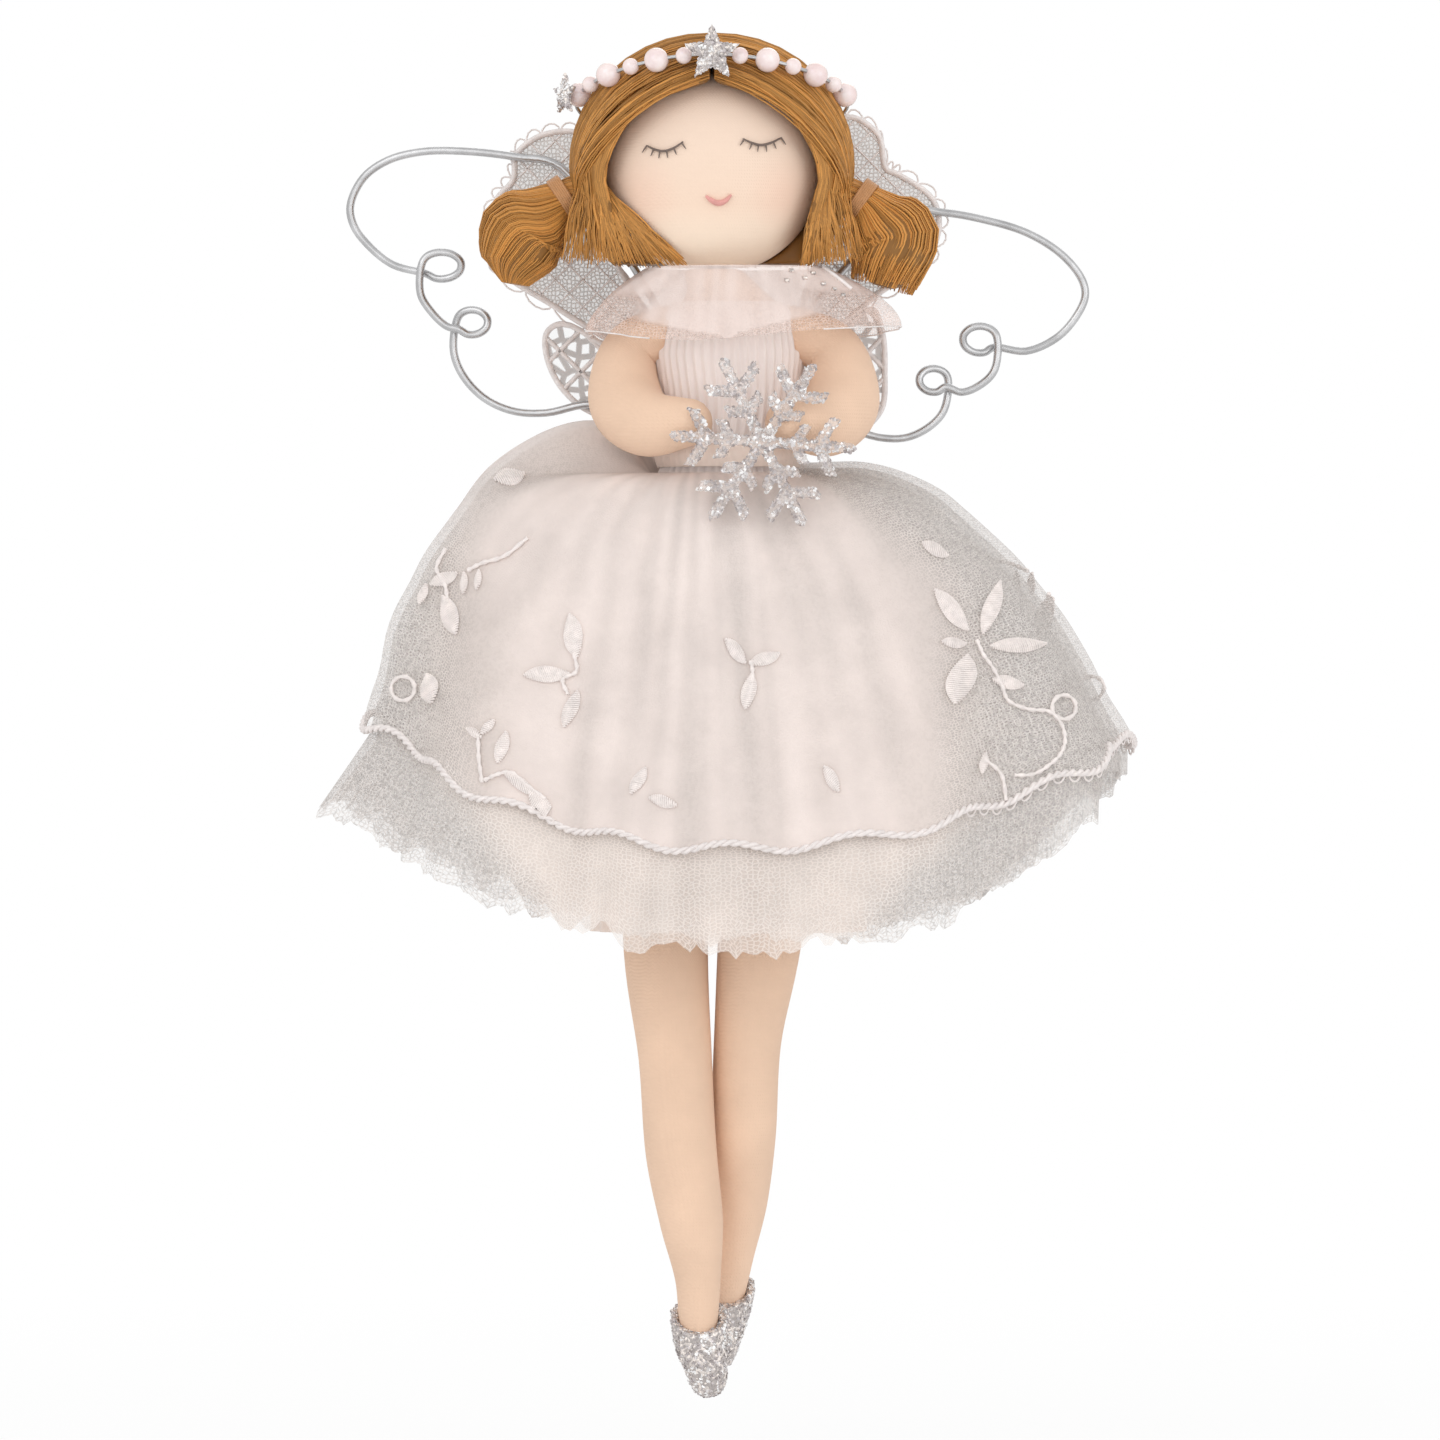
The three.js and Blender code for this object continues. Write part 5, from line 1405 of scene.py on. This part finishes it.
def make_collar():
    """Sheer tulle round the shoulders, with soft folds and a stiff corner on its right."""

    def put(share, angle):
        spread = 1 - (1 - share) ** 1.8
        corner = max(0.0, math.cos(angle)) ** 6
        fold = 0.55 * math.sin(9 * angle + 2.2 * share) + 0.25 * math.sin(23 * angle + 5 * share)
        half = lerp(COLLAR_NECK, COLLAR_HEM + COLLAR_CORNER * corner, spread) + fold * spread
        drop = COLLAR_DROP * share + 0.8 * share * (math.sin(3 * angle + 1) - 2.6 * corner)
        return round_chin(half, angle, -drop) + COLLAR_SHIFT

    rows = ring_rows(26, 240, put)
    collar = ring_sheet("collar_tulle", rows, "collar_tulle")
    mark_gathers_and_shade(collar, rows, (11, 18), CHIN[0], top=0.3, tail=17)
    settle(collar, "tulle", "shoulder_collar")
    hem = rows[-1]
    arcs = [[hem[i % len(hem)] for i in range(mid - 37, mid + 38)] for mid in (0, len(hem) // 2)]
    edge = settle(threads("collar_edge", arcs, 0.12, "white_thread", sides=5), "tulle")
    laid = Projector(collar)
    fold = [laid.put(p, 0.2) for p in smooth_path(COLLAR_FOLD, 4)]
    roll = threads("collar_roll", [[p for p in fold if p is not None]], 0.32, "white_thread", sides=6)
    settle(roll, "tulle")
    spots = [[laid.put((x + step, y), 0.15) for step in (-2, 0, 2)] for x, y in SEQUINS]
    spots = [spot for spot in spots if all(p is not None for p in spot)]
    sequins = settle(threads("collar_sequins", spots, 0.3, "silver_glitter", sides=6), "tulle")


def lace_length(angle):
    return LACE_LENGTH + LACE_SLANT * math.cos(angle) * abs(math.cos(angle))


def across_sides(left, right, angle):
    """A size between its values at the -X side and at the +X side."""
    return lerp(left, right, (1 + math.cos(angle)) / 2)


def puff_height(angle):
    """How high the gathers stand up beside and behind the waist."""
    back = math.sin(angle)
    share = smoothstep(back, -0.15, 0.35) * (1 - 0.6 * max(0.0, back) ** 2)
    return share * across_sides(LEFT_PUFF, RIGHT_PUFF, angle)


def dome_power(angle):
    side = across_sides(LEFT_POWER, RIGHT_POWER, angle)
    return lerp(side, FRONT_POWER, max(0.0, -math.sin(angle)) ** 2)


def dome_point(angle, share, inset):
    """A point of a skirt layer from the chin: an angle round the waist and a share of the way to the hem."""
    out = np.array((math.cos(angle), math.sin(angle)))
    start = SKIRT_WAIST * out
    hem = np.array((DOME_LEFT if out[0] < 0 else DOME_RIGHT, DOME_DEPTH)) * out
    reach = hem - start
    drop = math.sqrt(lace_length(angle) ** 2 - reach @ reach)
    puff = puff_height(angle) * (share / 0.25) * math.exp(1 - share / 0.25)
    fall = drop * share ** (1 / dome_power(angle)) - puff
    fold = FOLD_DEPTH * share * share * math.sin(SKIRT_FOLDS * angle) - inset * smoothstep(share, 0.1, 0.5)
    place = start + reach * share + out * fold
    return np.array((*place, SKIRT_TOP - fall - inset))


def crumple(angle, share):
    """A small push out or in, the same for layers that lie together."""
    return 0.9 * noise.noise(Vector(dome_point(angle, share, 0.0)) / 9.0 + Vector((3.0, 0.0, 0.0)))


def outward(angle):
    return np.array((math.cos(angle), math.sin(angle), 0.0))


def skirt_rows(inset, around, count):
    """Rings of a skirt layer down to the hem of the lace."""

    def put(down, angle):
        share = down**0.85
        push = crumple(angle, share) * smoothstep(share, 0.05, 0.4)
        pleat = 0.9 * (1 + math.sin(26 * angle + 2 * math.sin(3 * angle))) * share
        push += pleat * (1 - smoothstep(share, 0.2, 0.75))
        return CHIN + dome_point(angle, share, inset) + push * outward(angle)

    return ring_rows(count, around, put)


def make_slip():
    reach = SLIP_HALF - SKIRT_WAIST[0]
    drop = math.sqrt(SLIP_LENGTH**2 - reach**2)

    def put(share, angle):
        half = lerp(SKIRT_WAIST, SLIP_HALF, share) + 0.35 * math.sin(18 * angle) * share
        return round_chin(half, angle, SLIP_TOP - drop * share ** (1 / dome_power(angle)))

    slip = settle(ring_sheet("slip_satin", ring_rows(40, 200, put), "slip_satin"), "satin", "slip")


def mark_gathers_and_shade(obj, rows, wide, middle, top=0.0, tail=0.0):
    """Marks how densely a layer is gathered: most before and behind the body, and all round in a top share.

    The dense part reaches as wide from the middle as two sizes say, at the top and lower down, and is
    narrower by the tail at the hem. Where the mark is low, the net takes its side colour, a painted shade on
    the skirt, and noise streaks it in vertical bands of uneven gathering and painted fold shade.
    """
    dense = []
    for r, ring in enumerate(np.asarray(rows)):
        gap = ring[:, 0] - middle
        down = r / (len(rows) - 1)
        edge = lerp(*wide, min(1.0, down / 0.6)) - tail * smoothstep(down, 0.72, 1.0)
        for away, turn in zip(np.abs(gap), np.arctan2(ring[:, 1], gap)):
            # The streaks make lighter and darker vertical bands: uneven gathering, and also painted fold
            # shade
            fold_shade_streak = noise.noise(Vector((9 * math.cos(turn), 9 * math.sin(turn), 1.5 * down)))
            body = 1 - smoothstep(away, 0.6 * edge, edge)
            crown = 1 - smoothstep(down, top, top + 0.3) if top else 0.0
            dense.append(max(body, crown) * (0.96 + 0.22 * fold_shade_streak))
    obj.data.attributes.new("gather", "FLOAT", "POINT").data.foreach_set("value", dense)


def make_tulle(word):
    """A layer of tulle with a ragged, crinkled edge below the lace."""
    inset, below, seed, flat, area = TULLES[word]
    around = 360

    def put(share, angle):
        across, deep = math.cos(angle), math.sin(angle)
        ragged = 1 + 0.2 * noise.noise(Vector((7 * across, 7 * deep, seed)))
        ragged += 0.14 * noise.noise(Vector((30 * across, 30 * deep, seed)))
        step = share * ragged
        extra = step * below * (1 - TULLE_TAPER * max(0.0, across) ** 5)
        spring = across_sides(SPRING_LEFT, SPRING_RIGHT, angle) * (0.3 + 0.7 * across**2) * extra
        push = crumple(angle, 1.0) + step * 0.5 * math.sin(47 * angle + seed)
        at = dome_point(angle, 1.0, inset) + outward(angle) * (spring + push)
        at[2] -= math.sqrt(extra**2 - spring**2) + step * 0.6 * math.sin(30 * angle)
        return CHIN + at

    rows = skirt_rows(inset, around, 44) + ring_rows(12, around, put)[1:]
    tulle = ring_sheet(f"{word}_tulle_net", rows, "inner_tulle" if word == "inner" else "tulle_net")
    mark_gathers_and_shade(tulle, rows, (15, 50), SKIRT_MIDDLE, tail=20)
    settle(tulle, "tulle", f"tulle_{word}")


def make_lace():
    """The lace overskirt with a corded, scalloped hem and its embroidery."""
    around = 400
    rows = skirt_rows(0.0, around, 60)
    for c, angle in enumerate(turns(around)):
        scallop = SCALLOP_DEPTH * (1 + math.cos(SCALLOPS * angle)) / 2
        for r in range(50, 61):
            rows[r][c] = rows[r][c] + (0, 0, (r - 50) / 10 * scallop)
    lace = ring_sheet("lace_net", rows, "lace_net")
    mark_gathers_and_shade(lace, rows, (15, 46), SKIRT_MIDDLE)
    settle(lace, "lace", "lace_overskirt")
    trims = [make_hem(rows[-1]), make_embroidery(lace)]


def make_hem(ring):
    """Two plies twisted along the hem, and small loops below it."""
    radius = sizes().hem_cord / MM
    line = smooth_path(ring, 3, closed=True)
    centre = np.mean(ring, axis=0)
    paths = [[], []]
    loops = []
    for k, at in enumerate(line):
        out = unit((at - centre) * (1, 1, 0))
        for ply in range(2):
            turn = 2 * math.pi * (k / 10 + ply / 2)
            paths[ply].append(at + 0.8 * radius * (math.cos(turn) * out + math.sin(turn) * UP))
    for k in range(0, len(line) - 8, 10):
        first, last = line[k] - 0.2 * UP, line[k + 7] - 0.2 * UP
        if first[0] >= centre[0] + 0.55 * DOME_RIGHT:
            loops.append(arch(first, last, -HEM_PICOT * UP, 9))
    cords = settle(threads("hem_cord", paths, radius, "white_thread", sides=6, closed=True), "lace")
    settle(threads("hem_picots", loops, 0.16, "white_thread", sides=4), "lace")
    return cords


class Projector:
    """Lays drawn points onto the front or the back of a piece."""

    def __init__(self, obj, front=True, middle=0.0):
        self.tree = BVHTree.FromPolygons(
            [tuple(v.co / MM) for v in obj.data.vertices], [tuple(p.vertices) for p in obj.data.polygons]
        )
        self.side = -1 if front else 1
        self.middle = middle

    def put(self, pixel, lift):
        x, z = from_photo(*pixel)
        if self.side > 0:
            x = 2 * self.middle - x
        hit, normal, _, _ = self.tree.ray_cast(Vector((x, 100.0 * self.side, z)), Vector((0, -self.side, 0)))
        if hit is None:
            return None
        if normal.y * self.side < 0:
            normal = -normal
        return np.array(hit + lift * normal)


def satin_leaf(centre, length, angle, plump):
    """The stitches of an almond-shaped leaf, each straight across it, in pixels."""
    turn = math.radians(angle)
    along = np.array((math.cos(turn), -math.sin(turn)))
    across = np.array((-along[1], along[0]))
    stitches = []
    count = max(6, round(length / 0.3))
    for k in range(count):
        share = (k + 0.5) / count
        half = plump * length * math.sin(math.pi * share) ** 0.8
        middle = np.array(centre) + along * (share - 0.5) * length / PIXEL
        slant = 0.35 * half * along
        ends = [middle - (across * half + slant) / PIXEL, middle + (across * half + slant) / PIXEL]
        stitches.append([lerp(ends[0], ends[1], s) for s in (0, 0.25, 0.5, 0.75, 1)])
    return stitches


def drawn_stitches():
    """The satin stitches and the corded lines of the embroidery, in pixels."""
    satin = []
    for x, y, length, angle, plump in LEAVES:
        satin += satin_leaf((x, y), length, angle, plump)
    cords = [smooth_path(vine, 6) for vine in VINES]
    for x, y, radius in RINGS:
        reach = radius / PIXEL
        angles = np.linspace(0, 2 * math.pi, 21)
        cords.append([(x + reach * math.cos(a), y + reach * math.sin(a)) for a in angles])
    return satin, cords


def make_embroidery(lace):
    radius = sizes().stitch / MM
    middle = CHIN[0] + (DOME_RIGHT - DOME_LEFT) / 2
    satin, cords = drawn_stitches()
    paths = []
    radii = []
    for front in (True, False):
        laid = Projector(lace, front, middle)
        for lines, thick, rise, ripple in ((satin, radius, 0.35, 0.0), (cords, 1.9 * radius, 0.0, 0.3)):
            for line in lines:
                lifts = thick + rise * np.sin(np.linspace(0, math.pi, len(line)))
                points = [laid.put(pixel, float(lift)) for pixel, lift in zip(line, lifts)]
                points = [p for p in points if p is not None]
                if len(points) > 2 and max(np.linalg.norm(np.diff(points, axis=0), axis=1)) < LONGEST_STITCH:
                    paths.append(points)
                    radii.append([thick * (1 + ripple * math.sin(2.1 * i)) for i in range(len(points))])
    flowers = threads("lace_embroidery", paths, radii, "embroidery_thread", sides=5)
    return settle(flowers, "lace")


# Wings


def wing_point(word, out, up, depth=0.0):
    return WING_ROOTS[word] + (SIDES[word] * out, WING_SWEEP * out + depth, up)


def wire_path(word):
    route = WIRE_ROUTES[word]

    def curl(name, from_depth, to_depth):
        out, up, long, high = route[name]
        made = []
        for t in shares(9):
            angle = math.radians(lerp(-35, -355, t))
            depth = lerp(from_depth, to_depth, t)
            made.append(wing_point(word, out + long * math.cos(angle), up + high * math.sin(angle), depth))
        return made

    def run(name, depth):
        return [wing_point(word, out, up, depth) for out, up in route[name]]

    stations = [wing_point(word, 0, ROOT_GAP), *run("top", 0.0), *run("outer", 0.0)]
    stations += curl("curl", 0.0, -CURL_STEP) + run("between", -CURL_STEP)
    stations += curl("lower_curl", -CURL_STEP, 0.0) + run("bottom", 0.0)
    stations.append(wing_point(word, 0, -ROOT_GAP))
    return smooth_path(stations, 6)


def inside(point, corners):
    """Whether a point lies inside an outline."""
    found = False
    for (x1, y1), (x2, y2) in zip(corners, [*corners[1:], corners[0]]):
        if (y1 > point[1]) != (y2 > point[1]) and point[0] < x1 + (point[1] - y1) * (x2 - x1) / (y2 - y1):
            found = not found
    return found


def clear_of_hair(word, out, up):
    """The same place, moved out of the hair where the lace would run into it."""
    at = wing_point(word, out, up, 1.2)
    from_head = (at - HEAD_CENTRE)[[0, 2]]
    depth = 1 - (at[1] / (HAIR_AXES[1] + HAIR_ROOM)) ** 2
    if depth <= 0:
        return out, up
    room = (HAIR_AXES[[0, 2]] + HAIR_ROOM) * math.sqrt(depth)
    share = math.hypot(*(from_head / room))
    if share >= 1:
        return out, up
    moved = HEAD_CENTRE[[0, 2]] + from_head / share
    return SIDES[word] * (moved[0] - WING_ROOTS[word][0]), moved[1] - WING_ROOTS[word][2]


def lattice(corners, pitch):
    """Slanting lines both ways, cut to an outline."""
    lows = np.min(corners, axis=0)
    highs = np.max(corners, axis=0)
    size = float(np.sum(highs - lows))
    lines = []
    for slope in (1, -1):
        start = lows if slope > 0 else np.array((lows[0], highs[1]))
        for k in range(int(2 * size / pitch)):
            base = start + np.array((-size + k * pitch, 0.0))
            run = []
            for s in np.arange(0.0, 1.5 * size, 0.5):
                at = base + s * np.array((0.707, slope * 0.707))
                if inside(at, corners):
                    run.append(at)
                    continue
                if len(run) > 3:
                    lines.append(run)
                run = []
    return lines


def picots(outline):
    """Small loops that stand out along an outline."""
    points = np.array(outline)
    middle = points.mean(axis=0)
    loops = []
    for k in range(0, len(points) - 3, 3):
        first, last = points[k], points[k + 3]
        out = unit(lerp(first, last, 0.5) - middle)
        loops.append(arch(first, last, WING_PICOT * out, 7))
    return loops


def make_wing_lace(word, part):
    """A lobe of lace: net with a corded edge and a lattice of cords, on the upper one also picots."""
    net, pitch, bar = WING_LACE[part]
    name = f"{word}_{part}_lace"
    body = f"{word}_wing"
    outline = smooth_path(LACE_OUTLINES[f"{word}_{part}"], 6, closed=True)
    outline = [clear_of_hair(word, *place) for place in outline]

    def lay(places):
        return [wing_point(word, *place, WING_LACE_DEPTH) for place in places]

    lobe = mesh_piece(f"{name}_net", lay(outline), [range(len(outline))], net)
    edit_mesh(lobe, lambda shape: bmesh.ops.triangulate(shape, faces=shape.faces))
    cloth_map(lobe, [np.array(outline[loop.vertex_index]) * MM for loop in lobe.data.loops])
    settle(lobe, "lace", name, body=body)
    edge = threads(f"{name}_edge", [lay(outline)], WING_LACE_RIM, "white_thread", sides=6, closed=True)
    settle(edge, "lace", body=body)
    lines = lattice(outline, pitch)
    if part == "upper":
        lines += picots(outline)
    paths = [lay(line) for line in lines]
    cords = settle(threads(f"{name}_cords", paths, bar, "white_thread", sides=5), "lace", body=body)


def make_wing(word):
    bent = threads(f"{word}_wing_wire_bent", [wire_path(word)], WIRE_RADIUS, "silver_wire", sides=14)
    settle(bent, "silver_wire", f"{word}_wing_wire", body=f"{word}_wing")
    for part in WING_LACE:
        make_wing_lace(word, part)


def make_patch():
    """The felt patch between the wings, with whip stitches round its edge."""
    patch = soft_copy("patch_felt", "wing_patch", "felt", voxel=0.3, passes=3)
    low, high = (np.array(corner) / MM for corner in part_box("wing_patch"))
    middle = (low[0] + high[0]) / 2 * MM
    wider = 1 + 2 * PATCH_LAP / (high[0] - low[0])
    for vertex in patch.data.vertices:
        vertex.co.x = middle + wider * (vertex.co.x - middle)
    settle(patch, "felt", "wing_patch")
    low[0] -= PATCH_LAP
    high[0] += PATCH_LAP
    paths = []
    for along, over in ((2, 0), (0, 2)):
        for place in np.arange(low[along] + 1, high[along] - 0.5, PATCH_STITCH_PITCH):
            for rim, inner in ((high[over], -1.0), (low[over], 1.0)):
                stitch = np.empty((3, 3))
                stitch[:, along] = (place, place + 0.3, place + 0.3)
                stitch[:, over] = (rim + inner, rim + 0.1 * inner, rim)
                stitch[:, 1] = high[1] + np.array((0.05, 0.1, -0.8))
                paths.append(stitch)
    settle(threads("patch_stitches", paths, 0.16, "white_thread", sides=5), "felt")


# Stage


def light(name, place, target, size, power):
    lamp = bpy.data.lights.new(name, "AREA")
    lamp.size = size
    lamp.energy = power
    obj = bpy.data.objects.new(name, lamp)
    bpy.context.scene.collection.objects.link(obj)
    obj.location = place
    obj.rotation_euler = (Vector(target) - Vector(place)).to_track_quat("-Z", "Y").to_euler()
    return obj


def make_stage():
    scene = bpy.context.scene
    ends = (-FLOOR_HALF, FLOOR_HALF)
    corners = [(x, y, FLOOR_HEIGHT) for y in ends for x in ends]
    floor = mesh_piece("floor", corners, [(0, 1, 3, 2)], "floor")
    target = (0.0, 0.0, -0.1)
    lamps = [
        light("key", (-0.7, -1.1, 0.7), target, 0.9, 3.4),
        light("fill", (0.9, -1.0, 0.1), target, 0.9, 2.8),
        light("front", (-0.1, -1.4, -0.16), target, 0.9, 2.4),
        light("back", (0.2, 1.0, 0.7), target, 0.8, 2.0),
    ]

    world = bpy.data.worlds.new("studio")
    scene.world = world
    world.use_nodes = True
    tree = world.node_tree
    tree.nodes.clear()
    rays = tree.nodes.new("ShaderNodeLightPath").outputs
    seen = math_in(tree, "MAXIMUM", rays["Is Camera Ray"], rays["Is Transmission Ray"])
    strength = ramp_in(tree, seen, 0.0, 1.0, 0.85)
    sky = node_in(tree, "ShaderNodeBackground", {"Color": (1.0, 1.0, 1.0, 1.0), "Strength": strength})
    node_in(tree, "ShaderNodeOutputWorld", {"Surface": sky.outputs[0]})

    lens = bpy.data.cameras.new("camera")
    camera = bpy.data.objects.new("camera", lens)
    scene.collection.objects.link(camera)
    x, z = from_photo(PHOTO_SIZE / 2, PHOTO_SIZE / 2)
    camera.location = (x * MM, -CAMERA_DISTANCE, z * MM)
    camera.rotation_euler = (math.pi / 2, 0.0, 0.0)
    lens.sensor_width = SENSOR_WIDTH
    lens.lens = SENSOR_WIDTH * CAMERA_DISTANCE / (PHOTO_SIZE * PIXEL * MM)
    lens.clip_end = 20.0
    scene.camera = camera
    scene.view_settings.view_transform = "Standard"


# Operators


class AngelOperator:
    """What the operators share."""

    bl_options = {"REGISTER", "UNDO"}

    def execute(self, context):
        self.build()
        return {"FINISHED"}


class ANGEL_OT_head(AngelOperator, bpy.types.Operator):
    """Makes the knit head with its stitched eyes and mouth"""

    bl_idname = "angel.head"
    bl_label = "Head and face"

    def build(self):
        make_head()
        for word in SIDES:
            make_lashes(word)
        make_mouth()


class ANGEL_OT_hair(AngelOperator, bpy.types.Operator):
    """Makes the combed hair, its parting, the bunches and their ties"""

    bl_idname = "angel.hair"
    bl_label = "Hair"

    def build(self):
        for word in SIDES:
            make_hair(word)
            make_bunch(word)
        make_parting()


class ANGEL_OT_headband(AngelOperator, bpy.types.Operator):
    """Makes the string, beads and stars of the headband"""

    bl_idname = "angel.headband"
    bl_label = "Headband"

    def build(self):
        make_headband()


class ANGEL_OT_body(AngelOperator, bpy.types.Operator):
    """Makes the stuffed torso and arms"""

    bl_idname = "angel.body"
    bl_label = "Torso and arms"

    def build(self):
        make_body()


class ANGEL_OT_dress(AngelOperator, bpy.types.Operator):
    """Makes the bodice, waistband, collar and every layer of the skirt"""

    bl_idname = "angel.dress"
    bl_label = "Dress"

    def build(self):
        make_bodice()
        make_waistband()
        make_collar()
        make_slip()
        for word in TULLES:
            make_tulle(word)
        make_lace()


class ANGEL_OT_legs(AngelOperator, bpy.types.Operator):
    """Makes the crossed legs and the glitter shoes"""

    bl_idname = "angel.legs"
    bl_label = "Legs and shoes"

    def build(self):
        make_legs()


class ANGEL_OT_snowflake(AngelOperator, bpy.types.Operator):
    """Makes the glitter snowflake in the hands"""

    bl_idname = "angel.snowflake"
    bl_label = "Snowflake"

    def build(self):
        make_snowflake()


class ANGEL_OT_wings(AngelOperator, bpy.types.Operator):
    """Makes the wire wings, their lace and the felt patch"""

    bl_idname = "angel.wings"
    bl_label = "Wings"

    def build(self):
        for word in SIDES:
            make_wing(word)
        make_patch()


class ANGEL_OT_stage(AngelOperator, bpy.types.Operator):
    """Makes the floor, lights, background and camera"""

    bl_idname = "angel.stage"
    bl_label = "Stage"

    def build(self):
        make_stage()


OPERATORS = (
    ANGEL_OT_head,
    ANGEL_OT_hair,
    ANGEL_OT_headband,
    ANGEL_OT_body,
    ANGEL_OT_dress,
    ANGEL_OT_legs,
    ANGEL_OT_snowflake,
    ANGEL_OT_wings,
    ANGEL_OT_stage,
)


class ANGEL_PT_panel(bpy.types.Panel):
    """Lists the builders of the angel's pieces with its sizes and colours"""

    bl_label = "Lace Angel"
    bl_idname = "ANGEL_PT_panel"
    bl_space_type = "VIEW_3D"
    bl_region_type = "UI"
    bl_category = "Angel"

    def draw(self, context):
        for operator in OPERATORS:
            self.layout.operator(operator.bl_idname)
        for group in (context.scene.angel_sizes, context.scene.angel_colours):
            for name in group.__annotations__:
                self.layout.prop(group, name)


CLASSES = (AngelSizes, AngelColours, *OPERATORS, ANGEL_PT_panel)


def register():
    for made in CLASSES:
        bpy.utils.register_class(made)
    bpy.types.Scene.angel_sizes = PointerProperty(type=AngelSizes)
    bpy.types.Scene.angel_colours = PointerProperty(type=AngelColours)


def unregister():
    del bpy.types.Scene.angel_colours
    del bpy.types.Scene.angel_sizes
    for made in reversed(CLASSES):
        bpy.utils.unregister_class(made)


def main():
    register()
    bpy.ops.angel.head()
    bpy.ops.angel.hair()
    bpy.ops.angel.headband()
    bpy.ops.angel.body()
    bpy.ops.angel.dress()
    bpy.ops.angel.legs()
    bpy.ops.angel.snowflake()
    bpy.ops.angel.wings()
    bpy.ops.angel.stage()


if __name__ == "__main__":
    main()
